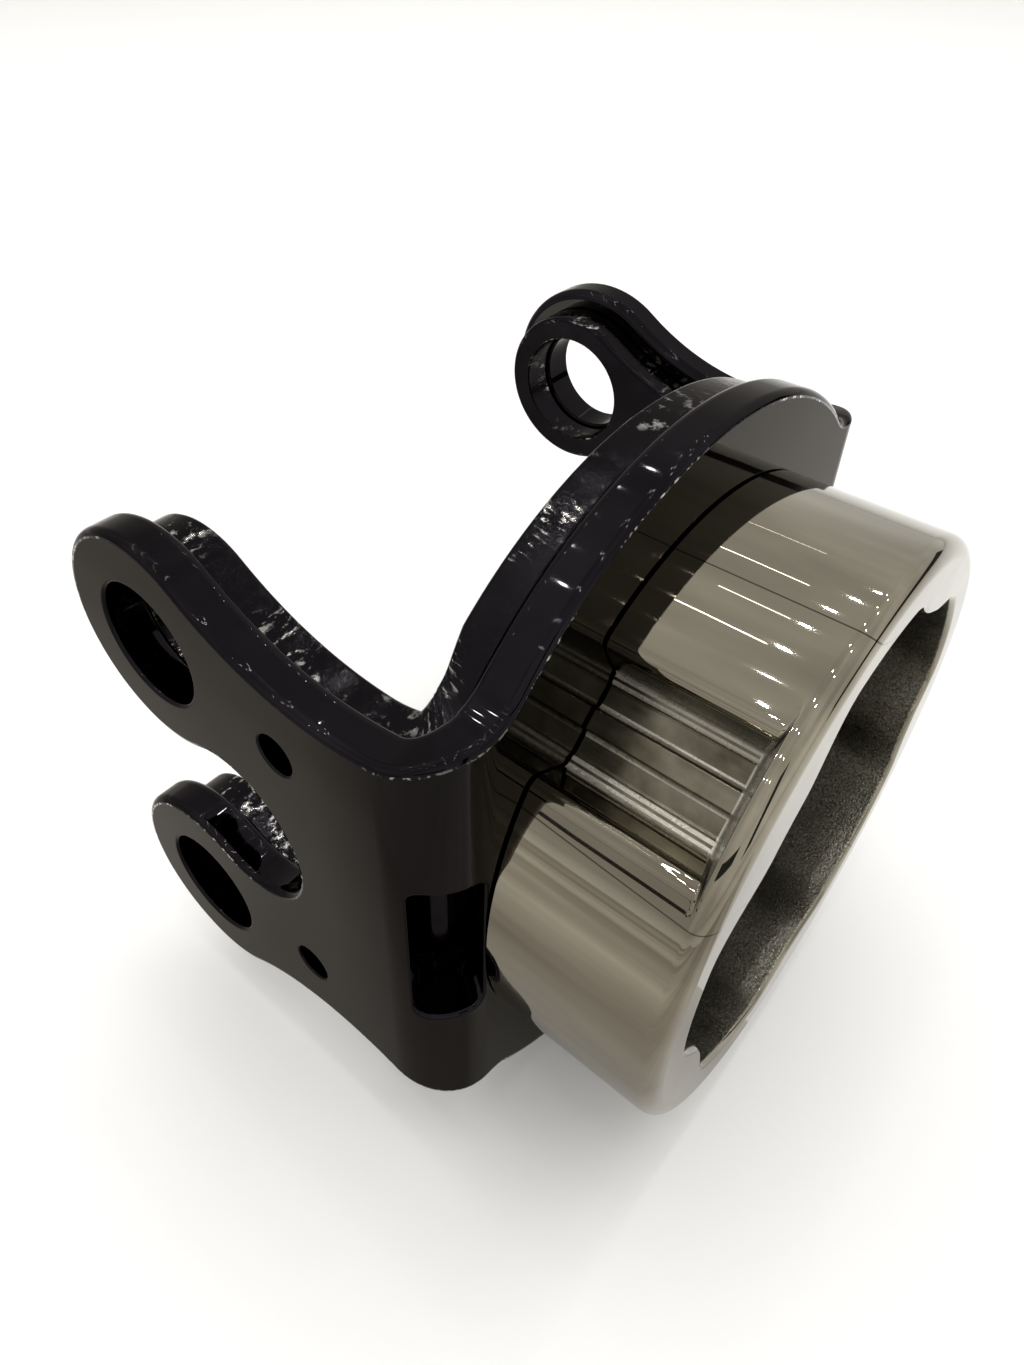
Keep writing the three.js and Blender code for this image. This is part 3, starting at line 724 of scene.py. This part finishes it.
def countersink_stations():
    """From the outer face: a straight clearance hole, then the cone that opens at the inner face."""
    cone = LINER_SCREW_HEAD - LINER_SCREW_HOLE + GAP
    mouth, slope = LINER_IN - GAP, pi * 0.72
    top = mouth - LINER_SCREW_HEAD_H
    return [
        (0, LINER_OUT, pi / 2), (0, top - CREASE, pi / 2), (0, top, slope),
        (-cone, mouth, slope), (-cone, mouth + CREASE, pi / 2), (-cone, LINER_IN, pi / 2)]


def make_yoke_liner():
    stations = edge_profile(LINER_OUT, LINER_PLATE, 0.5, 0.9, steps=4)
    loops = [(mirrored(quarter_outline(LINER_INSET_ARM, LINER_INSET_FLANGE)), False, stations, None)]
    loops += yoke_holes(LINER_BORE_R, LINER_OUT, LINER_PLATE, 0.4)
    for a in LINER_SCREW_ANGLES:
        hole = circle(LINER_SCREW_PCR * cos(a), LINER_SCREW_PCR * sin(a), LINER_SCREW_HOLE, 32)
        loops.append((hole, True, countersink_stations(), None))
    bm = plate_mesh(loops, BEND_CUTS + EASE_CUTS)
    skins = [LINER_RIM, BLACK_LINER]
    return plate_piece(bm, rolled, "yoke_liner_plate", skins, "yoke", "yoke_liner")


# ---- turned pieces
def eased(before, corner, after, cut, steps):
    """Points on a smooth curve round a corner, which leaves both of its sides at most cut away from it."""
    back, ahead = before - corner, after - corner
    size = min(cut, back.length * LONGEST_CUT, ahead.length * LONGEST_CUT)
    start, stop = corner + back.normalized() * size, corner + ahead.normalized() * size
    parts = [k / steps for k in range(steps + 1)]
    return [start * (1 - t) ** 2 + corner * 2 * t * (1 - t) + stop * t * t for t in parts]


def rounded(profile, radius, steps):
    """A closed profile with its corners rounded, by one radius or by one for each corner."""
    points = []
    for i, here in enumerate(profile):
        r = radius[i] if isinstance(radius, tuple) else radius
        if r == 0:
            points.append(Vector(here))
            continue
        before, after = Vector(profile[i - 1]), Vector(profile[(i + 1) % len(profile)])
        points += eased(before, Vector(here), after, r, steps)
    return points


def around(x, r, angle, middle=(0, 0)):
    """The place at x, and r away at an angle from a line along X through middle (y, z)."""
    return x, middle[0] + r * cos(angle), middle[1] + r * sin(angle)


def lathe(profile, segments):
    """A ring about the swivel axis, from a closed (x, r) profile."""
    points, faces, rows = [], [], len(profile)
    for i in range(segments):
        points += [around(x, r, TURN * i / segments) for x, r in profile]
    for i in range(segments):
        j = (i + 1) % segments
        for k in range(rows):
            m = (k + 1) % rows
            faces.append((i * rows + k, j * rows + k, j * rows + m, i * rows + m))
    return points, faces


def turned_piece(name, profile, material, body, node, segments=128, sharp=35):
    points, faces = lathe(profile, segments)
    return outward(piece(name, points, faces, [material], body, node), sharp)


def make_hub():
    """The flanged sleeve, with the groove of its retaining ring."""
    groove, cut = RING_INNER - GAP, HUB_CHAMFER
    profile = [
        (HUB_END, HUB_BORE + cut), (HUB_END, HUB_R - cut), (HUB_END + cut, HUB_R),
        (RING_X - RING_THICK - GAP, HUB_R), (RING_X - RING_THICK - GAP, groove), (RING_X + GAP, groove),
        (RING_X + GAP, HUB_R), (HUB_SEAT_X, HUB_R), (HUB_SEAT_X, HUB_FLANGE_R),
        (HUB_TOP_X - cut, HUB_FLANGE_R), (HUB_TOP_X, HUB_FLANGE_R - cut), (HUB_TOP_X, HUB_BORE + cut),
        (HUB_TOP_X - cut, HUB_BORE), (HUB_END + cut, HUB_BORE)]
    body = rounded(profile, 0.3, 3)
    return turned_piece("hub_turned", body, MACHINED, "swivel", "swivel_hub")


def make_race(name, node, body, back, inner, facing):
    """A bearing washer whose thicker side starts at back, with its ball groove facing along X."""
    face = back - RACE_THICK
    track, far = (face, back) if facing < 0 else (back, face)
    half = sqrt(RACE_GROOVE**2 - (BALL_X - track) ** 2)
    start = atan2(half, track - BALL_X)
    stop = -start if facing < 0 else TURN - start
    groove = arc(BALL_X, BALL_PITCH, RACE_GROOVE, start, stop, 12)
    corners = rounded([(track, inner), (far, inner), (far, RACE_OUTER), (track, RACE_OUTER)], 0.3, 3)
    turned_piece(name, [*corners, *groove], BEARING, body, node, 144)


def make_balls():
    """The bearing balls, each as a turned half circle closed at its two ends."""
    inner = arc(0, 0, BALL_R, 0, pi, 24)[1:-1]
    rows = len(inner)
    for i in range(BALLS):
        a = TURN * i / BALLS
        middle = (BALL_PITCH * cos(a), BALL_PITCH * sin(a))
        points = [(BALL_X + BALL_R, *middle), (BALL_X - BALL_R, *middle)]
        for k in range(BALL_SEGMENTS):
            points += [around(BALL_X + x, r, TURN * k / BALL_SEGMENTS, middle) for x, r in inner]
        faces = []
        for k in range(BALL_SEGMENTS):
            here, there = 2 + k * rows, 2 + ((k + 1) % BALL_SEGMENTS) * rows
            faces.append((0, here, there))
            faces.append((1, there + rows - 1, here + rows - 1))
            faces += [(here + m, here + m + 1, there + m + 1, there + m) for m in range(rows - 1)]
        name = f"ball_{i + 1:02d}"
        ball = piece(name, points, faces, [BEARING], "ball_set", f"bearing_{name}")
        outward(ball, 60)


def flat_about_x(x_top):
    """Shape for a flat plate square to the swivel axis whose outer face is at x_top."""

    def shape(s, z, depth):
        return Vector((x_top - depth, s, z)), Vector((1, 0, 0))

    return shape


def make_cage():
    loops = [
        (circle(0, 0, CAGE_OUTER, 160), False, edge_profile(0, CAGE_THICK, 0.3, 0.3, steps=3), None),
        (circle(0, 0, CAGE_INNER, 144), True, edge_profile(0, CAGE_THICK, 0.3, 0.3, steps=3), None)]
    for i in range(BALLS):
        a = TURN * i / BALLS
        pocket = circle(BALL_PITCH * cos(a), BALL_PITCH * sin(a), CAGE_POCKET, 40)
        loops.append((pocket, True, edge_profile(0, CAGE_THICK, 0.15, 0.15, steps=2), None))
    bm = plate_mesh(loops)
    shape = flat_about_x(BALL_X + CAGE_THICK / 2)
    return plate_piece(bm, shape, "cage_plate", [CAGE_BRASS], "ball_set", "ball_cage")


def ring_outline():
    """The open retaining ring with a round ear at each end, as one outline in (y, z)."""
    half = radians(RING_GAP / 2)
    ear_turn = half + radians(4)
    ear_middle = RING_OUTER + RING_EAR_R * 0.3
    ear = Vector((ear_middle * cos(ear_turn), ear_middle * sin(ear_turn)))
    meet = 2 * asin(min(1, RING_EAR_R / 2 / RING_OUTER)) * 1.02
    outer = arc(0, 0, RING_OUTER, ear_turn + meet, TURN - ear_turn - meet, 120)
    inner = arc(0, 0, RING_INNER, TURN - half, half, 120)
    top = arc(ear.x, ear.y, RING_EAR_R, ear_turn - pi * 0.52, ear_turn + pi * 0.52, 16)
    low = [(y, -z) for y, z in reversed(top)]
    return [*outer, *low, *inner, *top], ear


def make_retaining_ring():
    outline, ear = ring_outline()
    edge = edge_profile(0, RING_THICK, 0.2, 0.2, steps=2)
    hole = edge_profile(0, RING_THICK, 0.1, 0.1, steps=2)
    loops = [(outline, False, edge, None)]
    for side in (1, -1):
        loops.append((circle(ear.x, side * ear.y, RING_EAR_HOLE, 24), True, hole, None))
    bm = plate_mesh(loops)
    node = "retaining_ring"
    return plate_piece(bm, flat_about_x(RING_X), "ring_clip", [SCREW_STEEL], "swivel", node)


def make_small_rings():
    spring = rounded([
        (SPRING_X - SPRING_RISE - SPRING_THICK, SPRING_INNER), (SPRING_X - SPRING_RISE, SPRING_INNER),
        (SPRING_X, SPRING_OUTER), (SPRING_X - SPRING_THICK, SPRING_OUTER)], 0.3, 3)
    turned_piece("spring_disc", spring, MACHINED, "swivel", "disc_spring")
    bush = rounded([(-LINER_IN, BUSH_BORE), (-GAP, BUSH_BORE), (-GAP, BUSH_R), (-LINER_IN, BUSH_R)], 0.4, 3)
    turned_piece("bush_sleeve", bush, BRONZE, "yoke", "radial_bush")
    middle = COLLAR_X0 + SEAL_TUBE - 0.05
    seal = arc(middle, SEAL_R, SEAL_TUBE, 0, TURN, 20)[:-1]
    turned_piece("seal_ring", seal, RUBBER, "swivel", "dust_seal", sharp=60)


# ---- screws
def screw_mesh(profile, socket, top_x, bottom_x, middle, facing, segments=48):
    """A turned screw, from its tip to the rim of its head, with a hexagon socket sunk in the head."""
    points, faces, hexed = [], [], []
    loops = [[(x, r)] * segments for x, r in profile]
    sector = pi / 3
    for i in range(segments):
        a = TURN * i / segments
        off = (a + sector / 2) % sector - sector / 2
        hexed.append(socket * cos(pi / 6) / cos(off))
    loops.append([(top_x, r + 0.12) for r in hexed])
    loops.append([(top_x - facing * 0.15, r) for r in hexed])
    loops.append([(bottom_x, r) for r in hexed])
    for loop in loops:
        points += [around(x, r, TURN * i / segments, middle) for i, (x, r) in enumerate(loop)]
    for k in range(len(loops) - 1):
        for i in range(segments):
            j = (i + 1) % segments
            at = k * segments
            faces.append((at + i, at + j, at + segments + j, at + segments + i))
    tip, floor = len(points), len(points) + 1
    points.append((profile[0][0] - facing * 0.2, *middle))
    points.append((bottom_x - facing * 0.5, *middle))
    last = (len(loops) - 1) * segments
    for i in range(segments):
        j = (i + 1) % segments
        faces.append((j, i, tip))
        faces.append((last + i, last + j, floor))
    return points, faces


def make_hub_screws():
    under, head, shank = HUB_TOP_X + GAP, HUB_SCREW_HEAD, HUB_SCREW_SHANK
    top = under + HUB_SCREW_HEAD_H
    profile = [
        (COLLAR_X0 + 0.6, shank - 0.4), (COLLAR_X0 + 1.0, shank), (under, shank), (under, head - 0.15),
        (under + 0.15, head), (top - 0.45, head), (top - 0.2, head - 0.08), (top - 0.05, head - 0.25),
        (top, head - 0.5)]
    for i in range(HUB_SCREWS):
        a = radians(HUB_SCREW_FIRST + 360 / HUB_SCREWS * i)
        middle = (HUB_SCREW_PCR * cos(a), HUB_SCREW_PCR * sin(a))
        floor = top - HUB_SCREW_SOCKET_DEPTH
        points, faces = screw_mesh(profile, HUB_SCREW_SOCKET, top, floor, middle, 1)
        name, node = f"cap_screw_{i + 1}", f"hub_screw_{i + 1}"
        outward(piece(name, points, faces, [SCREW_STEEL], "swivel", node), 40)


def make_liner_screws():
    back, head, shank = -LINER_IN + GAP, LINER_SCREW_HEAD, LINER_SCREW_SHANK
    tip, under = LINER_SCREW_TIP_X, back + LINER_SCREW_HEAD_H
    profile = [
        (tip, shank - 0.4), (tip - 0.35, shank), (under, shank), (back + 0.15, head - 0.05),
        (back + 0.05, head - 0.1), (back, head - 0.3)]
    for i, a in enumerate(LINER_SCREW_ANGLES):
        middle = (LINER_SCREW_PCR * cos(a), LINER_SCREW_PCR * sin(a))
        floor = back + LINER_SCREW_SOCKET_DEPTH
        points, faces = screw_mesh(profile, LINER_SCREW_SOCKET, back, floor, middle, -1)
        name, node = f"flat_screw_{i + 1}", f"liner_screw_{i + 1}"
        outward(piece(name, points, faces, [SCREW_STEEL], "yoke", node), 40)


# ---- collar
def bore_radius(angle):
    """The bore's radius at an angle in degrees, less where a pad stands."""
    sector = 360 / PADS
    turn = (angle - RECESS_ANGLE + 360 + sector / 2) % 360
    rise, flat, reach = RECESS_PAD if turn < sector else PLAIN_PAD
    off = abs(turn % sector - sector / 2)
    if off >= reach:
        return BORE_R
    t = max(off - flat, 0) / (reach - flat)
    return BORE_R - rise * (1 + cos(pi * t)) / 2


def recess_half():
    """Half of the recess's cross-section as (t, h): from the middle of its floor, over the rounded wall,
    to the round outside. Also the angle at which it ends."""
    floor, rib, wall = RECESS_FLOOR, RECESS_RIB, RECESS_FLOOR_HALF
    top = (RECESS_TOP_HALF, sqrt(COLLAR_R**2 - RECESS_TOP_HALF**2))
    out = radians(90) - atan2(top[1], top[0]) + radians(6)
    corners = [
        (0, rib), (RECESS_RIB_HALF, rib), (RECESS_RIB_FOOT, floor), (RECESS_STEP_IN, floor),
        (RECESS_STEP_OUT, floor + RECESS_STEP_RISE), (wall, floor + RECESS_FOOT_RISE), top,
        (COLLAR_R * sin(out), COLLAR_R * cos(out))]
    return rounded(corners, RECESS_ROUNDING, CORNER_STEPS), out


def column(t, h, a):
    """A column in the recess, from its cross-section place (t, h) and its angle off the recess's middle."""
    base = radians(RECESS_ANGLE)
    up, side = (cos(base), sin(base)), (sin(base), -cos(base))
    return ((t * side[0] + h * up[0], t * side[1] + h * up[1], h), base - a)


def collar_columns():
    """For each column round the collar: its place in the recess, or None, and its angle on the end face."""
    half, out = recess_half()
    side = [(p.x, p.y, out * i / RECESS_MIDDLE) for i, p in enumerate(half)]
    columns = [column(-t, h, -a) for t, h, a in reversed(side[1:])]
    columns += [column(t, h, a) for t, h, a in side]
    for i in range(1, PLAIN_COLUMNS):
        a = out + (TURN - 2 * out) * i / PLAIN_COLUMNS
        columns.append((None, radians(RECESS_ANGLE) - a))
    return columns


def ridge_columns():
    """The columns of faces round the foot of the recess's rib, the edge of its step and its wall's foot."""
    found = set()
    for corner in RIDGE_CORNERS:
        first = (CORNER_STEPS + 1) * (corner - 1) + 1
        found.update(RECESS_MIDDLE + first + k for k in range(CORNER_STEPS))
        found.update(RECESS_MIDDLE - first - 1 - k for k in range(CORNER_STEPS))
    return found


def collar_back(ring):
    """A column's path over the back face, with the seal's groove."""
    low, high, deep = SEAL_R - SEAL_GROOVE_HALF, SEAL_R + SEAL_GROOVE_HALF, COLLAR_X0 + SEAL_GROOVE_DEPTH
    return [ring(COLLAR_X0, HUB_R + GAP), ring(COLLAR_X0, low), ring(deep, low), ring(deep, high),
            ring(COLLAR_X0, high)]


def collar_outside(ring, place):
    """From the back edge along the round outside, or along the recess's floor and up its end wall."""
    y, z, h = place or (*ring(0, COLLAR_R).yz, COLLAR_R)
    lean = (RECESS_TOP_END - RECESS_FLOOR_END) / (COLLAR_R - RECESS_FLOOR)
    end = min(RECESS_FLOOR_END + lean * (h - RECESS_FLOOR), RECESS_TOP_END - WALL_LEAST_RUN)
    inward = Vector((0, y, z)).normalized() * COLLAR_LIP
    back = Vector((COLLAR_X0 - COLLAR_LIP, y, z)) - inward
    start, foot = Vector((COLLAR_X0, y, z)), Vector((end, y, z))
    top, rim = ring(RECESS_TOP_END, COLLAR_R), ring(COLLAR_END - COLLAR_RIM, COLLAR_R)
    wall = eased(start, foot, top, WALL_FOOT_R, CORNER_STEPS)
    wall += eased(foot, top, rim, WALL_TOP_R, CORNER_STEPS)
    return [back, start, start.lerp(foot, 0.35), start.lerp(foot, 0.7), *wall, top.lerp(rim, 0.6)]


def collar_bore(ring, bore):
    """Over the rounded rim and the end face, down the bore and over the web to the hub's hole."""
    floor = COLLAR_X0 + COLLAR_WEB
    shoulder, turn_in, mouth = COLLAR_END - COLLAR_RIM, COLLAR_R - COLLAR_RIM, COLLAR_END - BORE_MOUTH
    rim = [(shoulder + x, turn_in + r) for r, x in arc(0, 0, COLLAR_RIM, 0, pi / 2, 10)]
    inlet = arc(mouth, bore + BORE_MOUTH, BORE_MOUTH, 0, -pi / 2, 5)
    run = floor + BORE_FOOT - mouth
    wall = [(mouth + run * t, bore) for t in (0.25, 0.5, 0.75)]
    foot = arc(floor + BORE_FOOT, bore - BORE_FOOT, BORE_FOOT, pi / 2, pi, 4)
    web = [(floor, HUB_FLANGE_R - 0.5), (floor, HUB_R + GAP)]
    return [ring(x, r) for x, r in (*rim, *inlet, *wall, *foot, *web)]


def collar_path(place, angle):
    """One column's closed path over the back face, the outside, the end face and the bore."""

    def ring(x, r):
        return Vector(around(x, r, angle))

    bore = bore_radius(degrees(angle) % 360)
    return collar_back(ring) + collar_outside(ring, place) + collar_bore(ring, bore)


def collar_skin(row, in_recess, on_ridge):
    """The skin of a face, by its row along the path and its place round the collar."""
    if row < BACK_ROWS or row >= BRIGHT_ROWS:
        return DULL
    if in_recess and row < FLOOR_ROWS:
        return RIDGED if on_ridge else FLOOR
    return RIDGED if in_recess and row < WALL_ROWS else BRIGHT


def make_collar():
    """The chrome ring, from a path over its section at each column round it."""
    columns, ridges = collar_columns(), ridge_columns()
    paths = [collar_path(place, angle) for place, angle in columns]
    rows = len(paths[0])
    points = [p for path in paths for p in path]
    faces, indexes = [], []
    for i, (place, _) in enumerate(columns):
        j = (i + 1) % len(columns)
        in_recess = place is not None and place[2] < RECESS_FLOOR + RECESS_DEEP
        for k in range(rows):
            m = (k + 1) % rows
            faces.append((i * rows + k, j * rows + k, j * rows + m, i * rows + m))
            indexes.append(collar_skin(k, in_recess, i in ridges))
    skins, node = [CHROME, SATIN, RECESS_SKIN, RIDGE], "swivel_collar"
    collar = piece("collar_shell", points, faces, skins, "swivel", node, indexes)
    return outward(collar, 50)


# ---- stage
def make_camera():
    data = bpy.data.cameras.new("camera")
    data.lens, data.sensor_width = LENS, SENSOR
    data.shift_x, data.shift_y = SHIFT
    data.clip_start, data.clip_end = 0.01, 50
    camera = added("camera", data)
    turn = Vector(CAMERA_LOOK).to_track_quat("-Z", "Y").to_matrix().to_4x4()
    roll = Matrix.Rotation(radians(CAMERA_ROLL), 4, "Z")
    camera.matrix_world = Matrix.Translation(CAMERA_PLACE) @ turn @ roll
    bpy.context.scene.camera = camera


def make_floor():
    """A flat grid just under the object."""
    row = FLOOR_STEPS + 1
    mesh = bpy.data.meshes.new("floor")
    lines = [FLOOR_HALF * (2 * i / FLOOR_STEPS - 1) for i in range(row)]
    spots = [(x, y, 0) for x in lines for y in lines]
    firsts = [i * row + j for i in range(FLOOR_STEPS) for j in range(FLOOR_STEPS)]
    mesh.from_pydata(spots, [], [(k, k + row, k + row + 1, k + 1) for k in firsts])
    mesh.materials.append(floor_finish())
    floor = added("floor", mesh)
    floor.location.z = cad_low.z - FLOOR_DROP


def area_light(name, place, size, power, size_y=None):
    """A flat light that shines straight down."""
    data = bpy.data.lights.new(name, "AREA")
    data.shape = "RECTANGLE"
    data.size, data.size_y = size, size_y or size
    data.energy = power
    light = added(name, data)
    light.location = place
    return light


def make_world():
    """A pale room whose walls and ceiling vary a little, so that mirrors show soft gradients."""
    world = bpy.data.worlds.new("studio")
    world.use_nodes = True
    bpy.context.scene.world = world
    nodes, links = world.node_tree.nodes, world.node_tree.links
    toward = nodes.new("ShaderNodeTexCoord").outputs["Generated"]
    cloud = nodes.new("ShaderNodeTexNoise")
    cloud.inputs["Scale"].default_value = 1.6
    cloud.inputs["Detail"].default_value = 2
    links.new(toward, cloud.inputs["Vector"])
    ramp = nodes.new("ShaderNodeMapRange")
    ramp.inputs["From Min"].default_value = 0.35
    ramp.inputs["From Max"].default_value = 0.65
    ramp.inputs["To Min"].default_value, ramp.inputs["To Max"].default_value = WORLD_RANGE
    links.new(cloud.outputs["Fac"], ramp.inputs["Value"])
    back = nodes["Background"]
    back.inputs["Color"].default_value = (*WORLD_TINT, 1)
    links.new(ramp.outputs["Result"], back.inputs["Strength"])


def make_lights():
    """A wide soft panel for the floor, small ceiling lamps for points and short strips for streaks."""
    soft = area_light("soft_top", SOFT_PLACE, SOFT_SIDE, SOFT_POWER)
    soft.rotation_mode = "QUATERNION"
    soft.rotation_quaternion = (OBJECT_MIDDLE - Vector(SOFT_PLACE)).to_track_quat("-Z", "Y")
    soft.visible_glossy = False
    for i in range(LAMP_ROWS):
        for j in range(LAMP_COLUMNS):
            x = (j - (LAMP_COLUMNS - 1) / 2) * LAMP_PITCH[0] + LAMP_MIDDLE[0]
            y = (i - (LAMP_ROWS - 1) / 2) * LAMP_PITCH[1] + LAMP_MIDDLE[1]
            area_light(f"lamp_{i + 1}_{j + 1}", (x, y, LAMP_HEIGHT), LAMP_SIDE, LAMP_POWER)
    for i, (x, y, length, power) in enumerate(STRIPS):
        area_light(f"strip_{i + 1}", (x, y, LAMP_HEIGHT), length, power, STRIP_WIDTH)


def mirror_only(name, width, height, place, facing, material):
    """A flat card that nothing but a mirror surface sees."""
    mesh = bpy.data.meshes.new(name)
    corners = [(a * width / 2, b * height / 2, 0) for a, b in ((-1, -1), (1, -1), (1, 1), (-1, 1))]
    mesh.from_pydata(corners, [], [(0, 1, 2, 3)])
    mesh.materials.append(material)
    card = added(name, mesh)
    card.location = place
    card.rotation_mode = "QUATERNION"
    card.rotation_quaternion = facing
    card.visible_camera = False
    card.visible_diffuse = False
    card.visible_shadow = False


def make_cards():
    """Dark cards round the object that only mirrors see, to draw its rounded edges."""
    cloth = Shader("card_cloth", (0.03, 0.03, 0.03), 0, 0.9)
    cloth.color(cloth.mixed(cloth.noise(40, 3), (0.02, 0.02, 0.02), (0.05, 0.05, 0.05)))
    for i, (place, width, height) in enumerate(CARDS):
        facing = (OBJECT_MIDDLE - Vector(place)).to_track_quat("Z", "Y")
        mirror_only(f"card_{i + 1}", width, height, place, facing, cloth.material)
    # painted reflection: a grey streaked mat beside the object that only mirrors see, dimming what the
    # chrome and black faces mirror of the floor
    mat = Shader("mat_cloth", (0.5, 0.5, 0.5), 0, 0.9)
    streaks = mat.noise(9, 4, mat.mapped((0.12, 1, 1)))
    mat.color(mat.mixed(mat.span(streaks, 0.35, 0.65, 0, 1), (0.3, 0.28, 0.26), (0.62, 0.61, 0.59)))
    place = (*MAT_MIDDLE, cad_low.z + MAT_RISE)
    mirror_only("mat", *MAT_SIZE, place, Quaternion(), mat.material)


make_yoke_body()
make_yoke_liner()
make_collar()
make_hub()
make_race("race_fixed", "thrust_race_fixed", "yoke", FIXED_RACE_X, RACE_INNER, -1)
make_race("race_swivel", "thrust_race_swivel", "swivel", SWIVEL_RACE_X, HUB_R + GAP, 1)
make_balls()
make_cage()
make_retaining_ring()
make_small_rings()
make_hub_screws()
make_liner_screws()
make_camera()
make_floor()
make_world()
make_lights()
make_cards()
bpy.context.scene.view_settings.view_transform = "Standard"
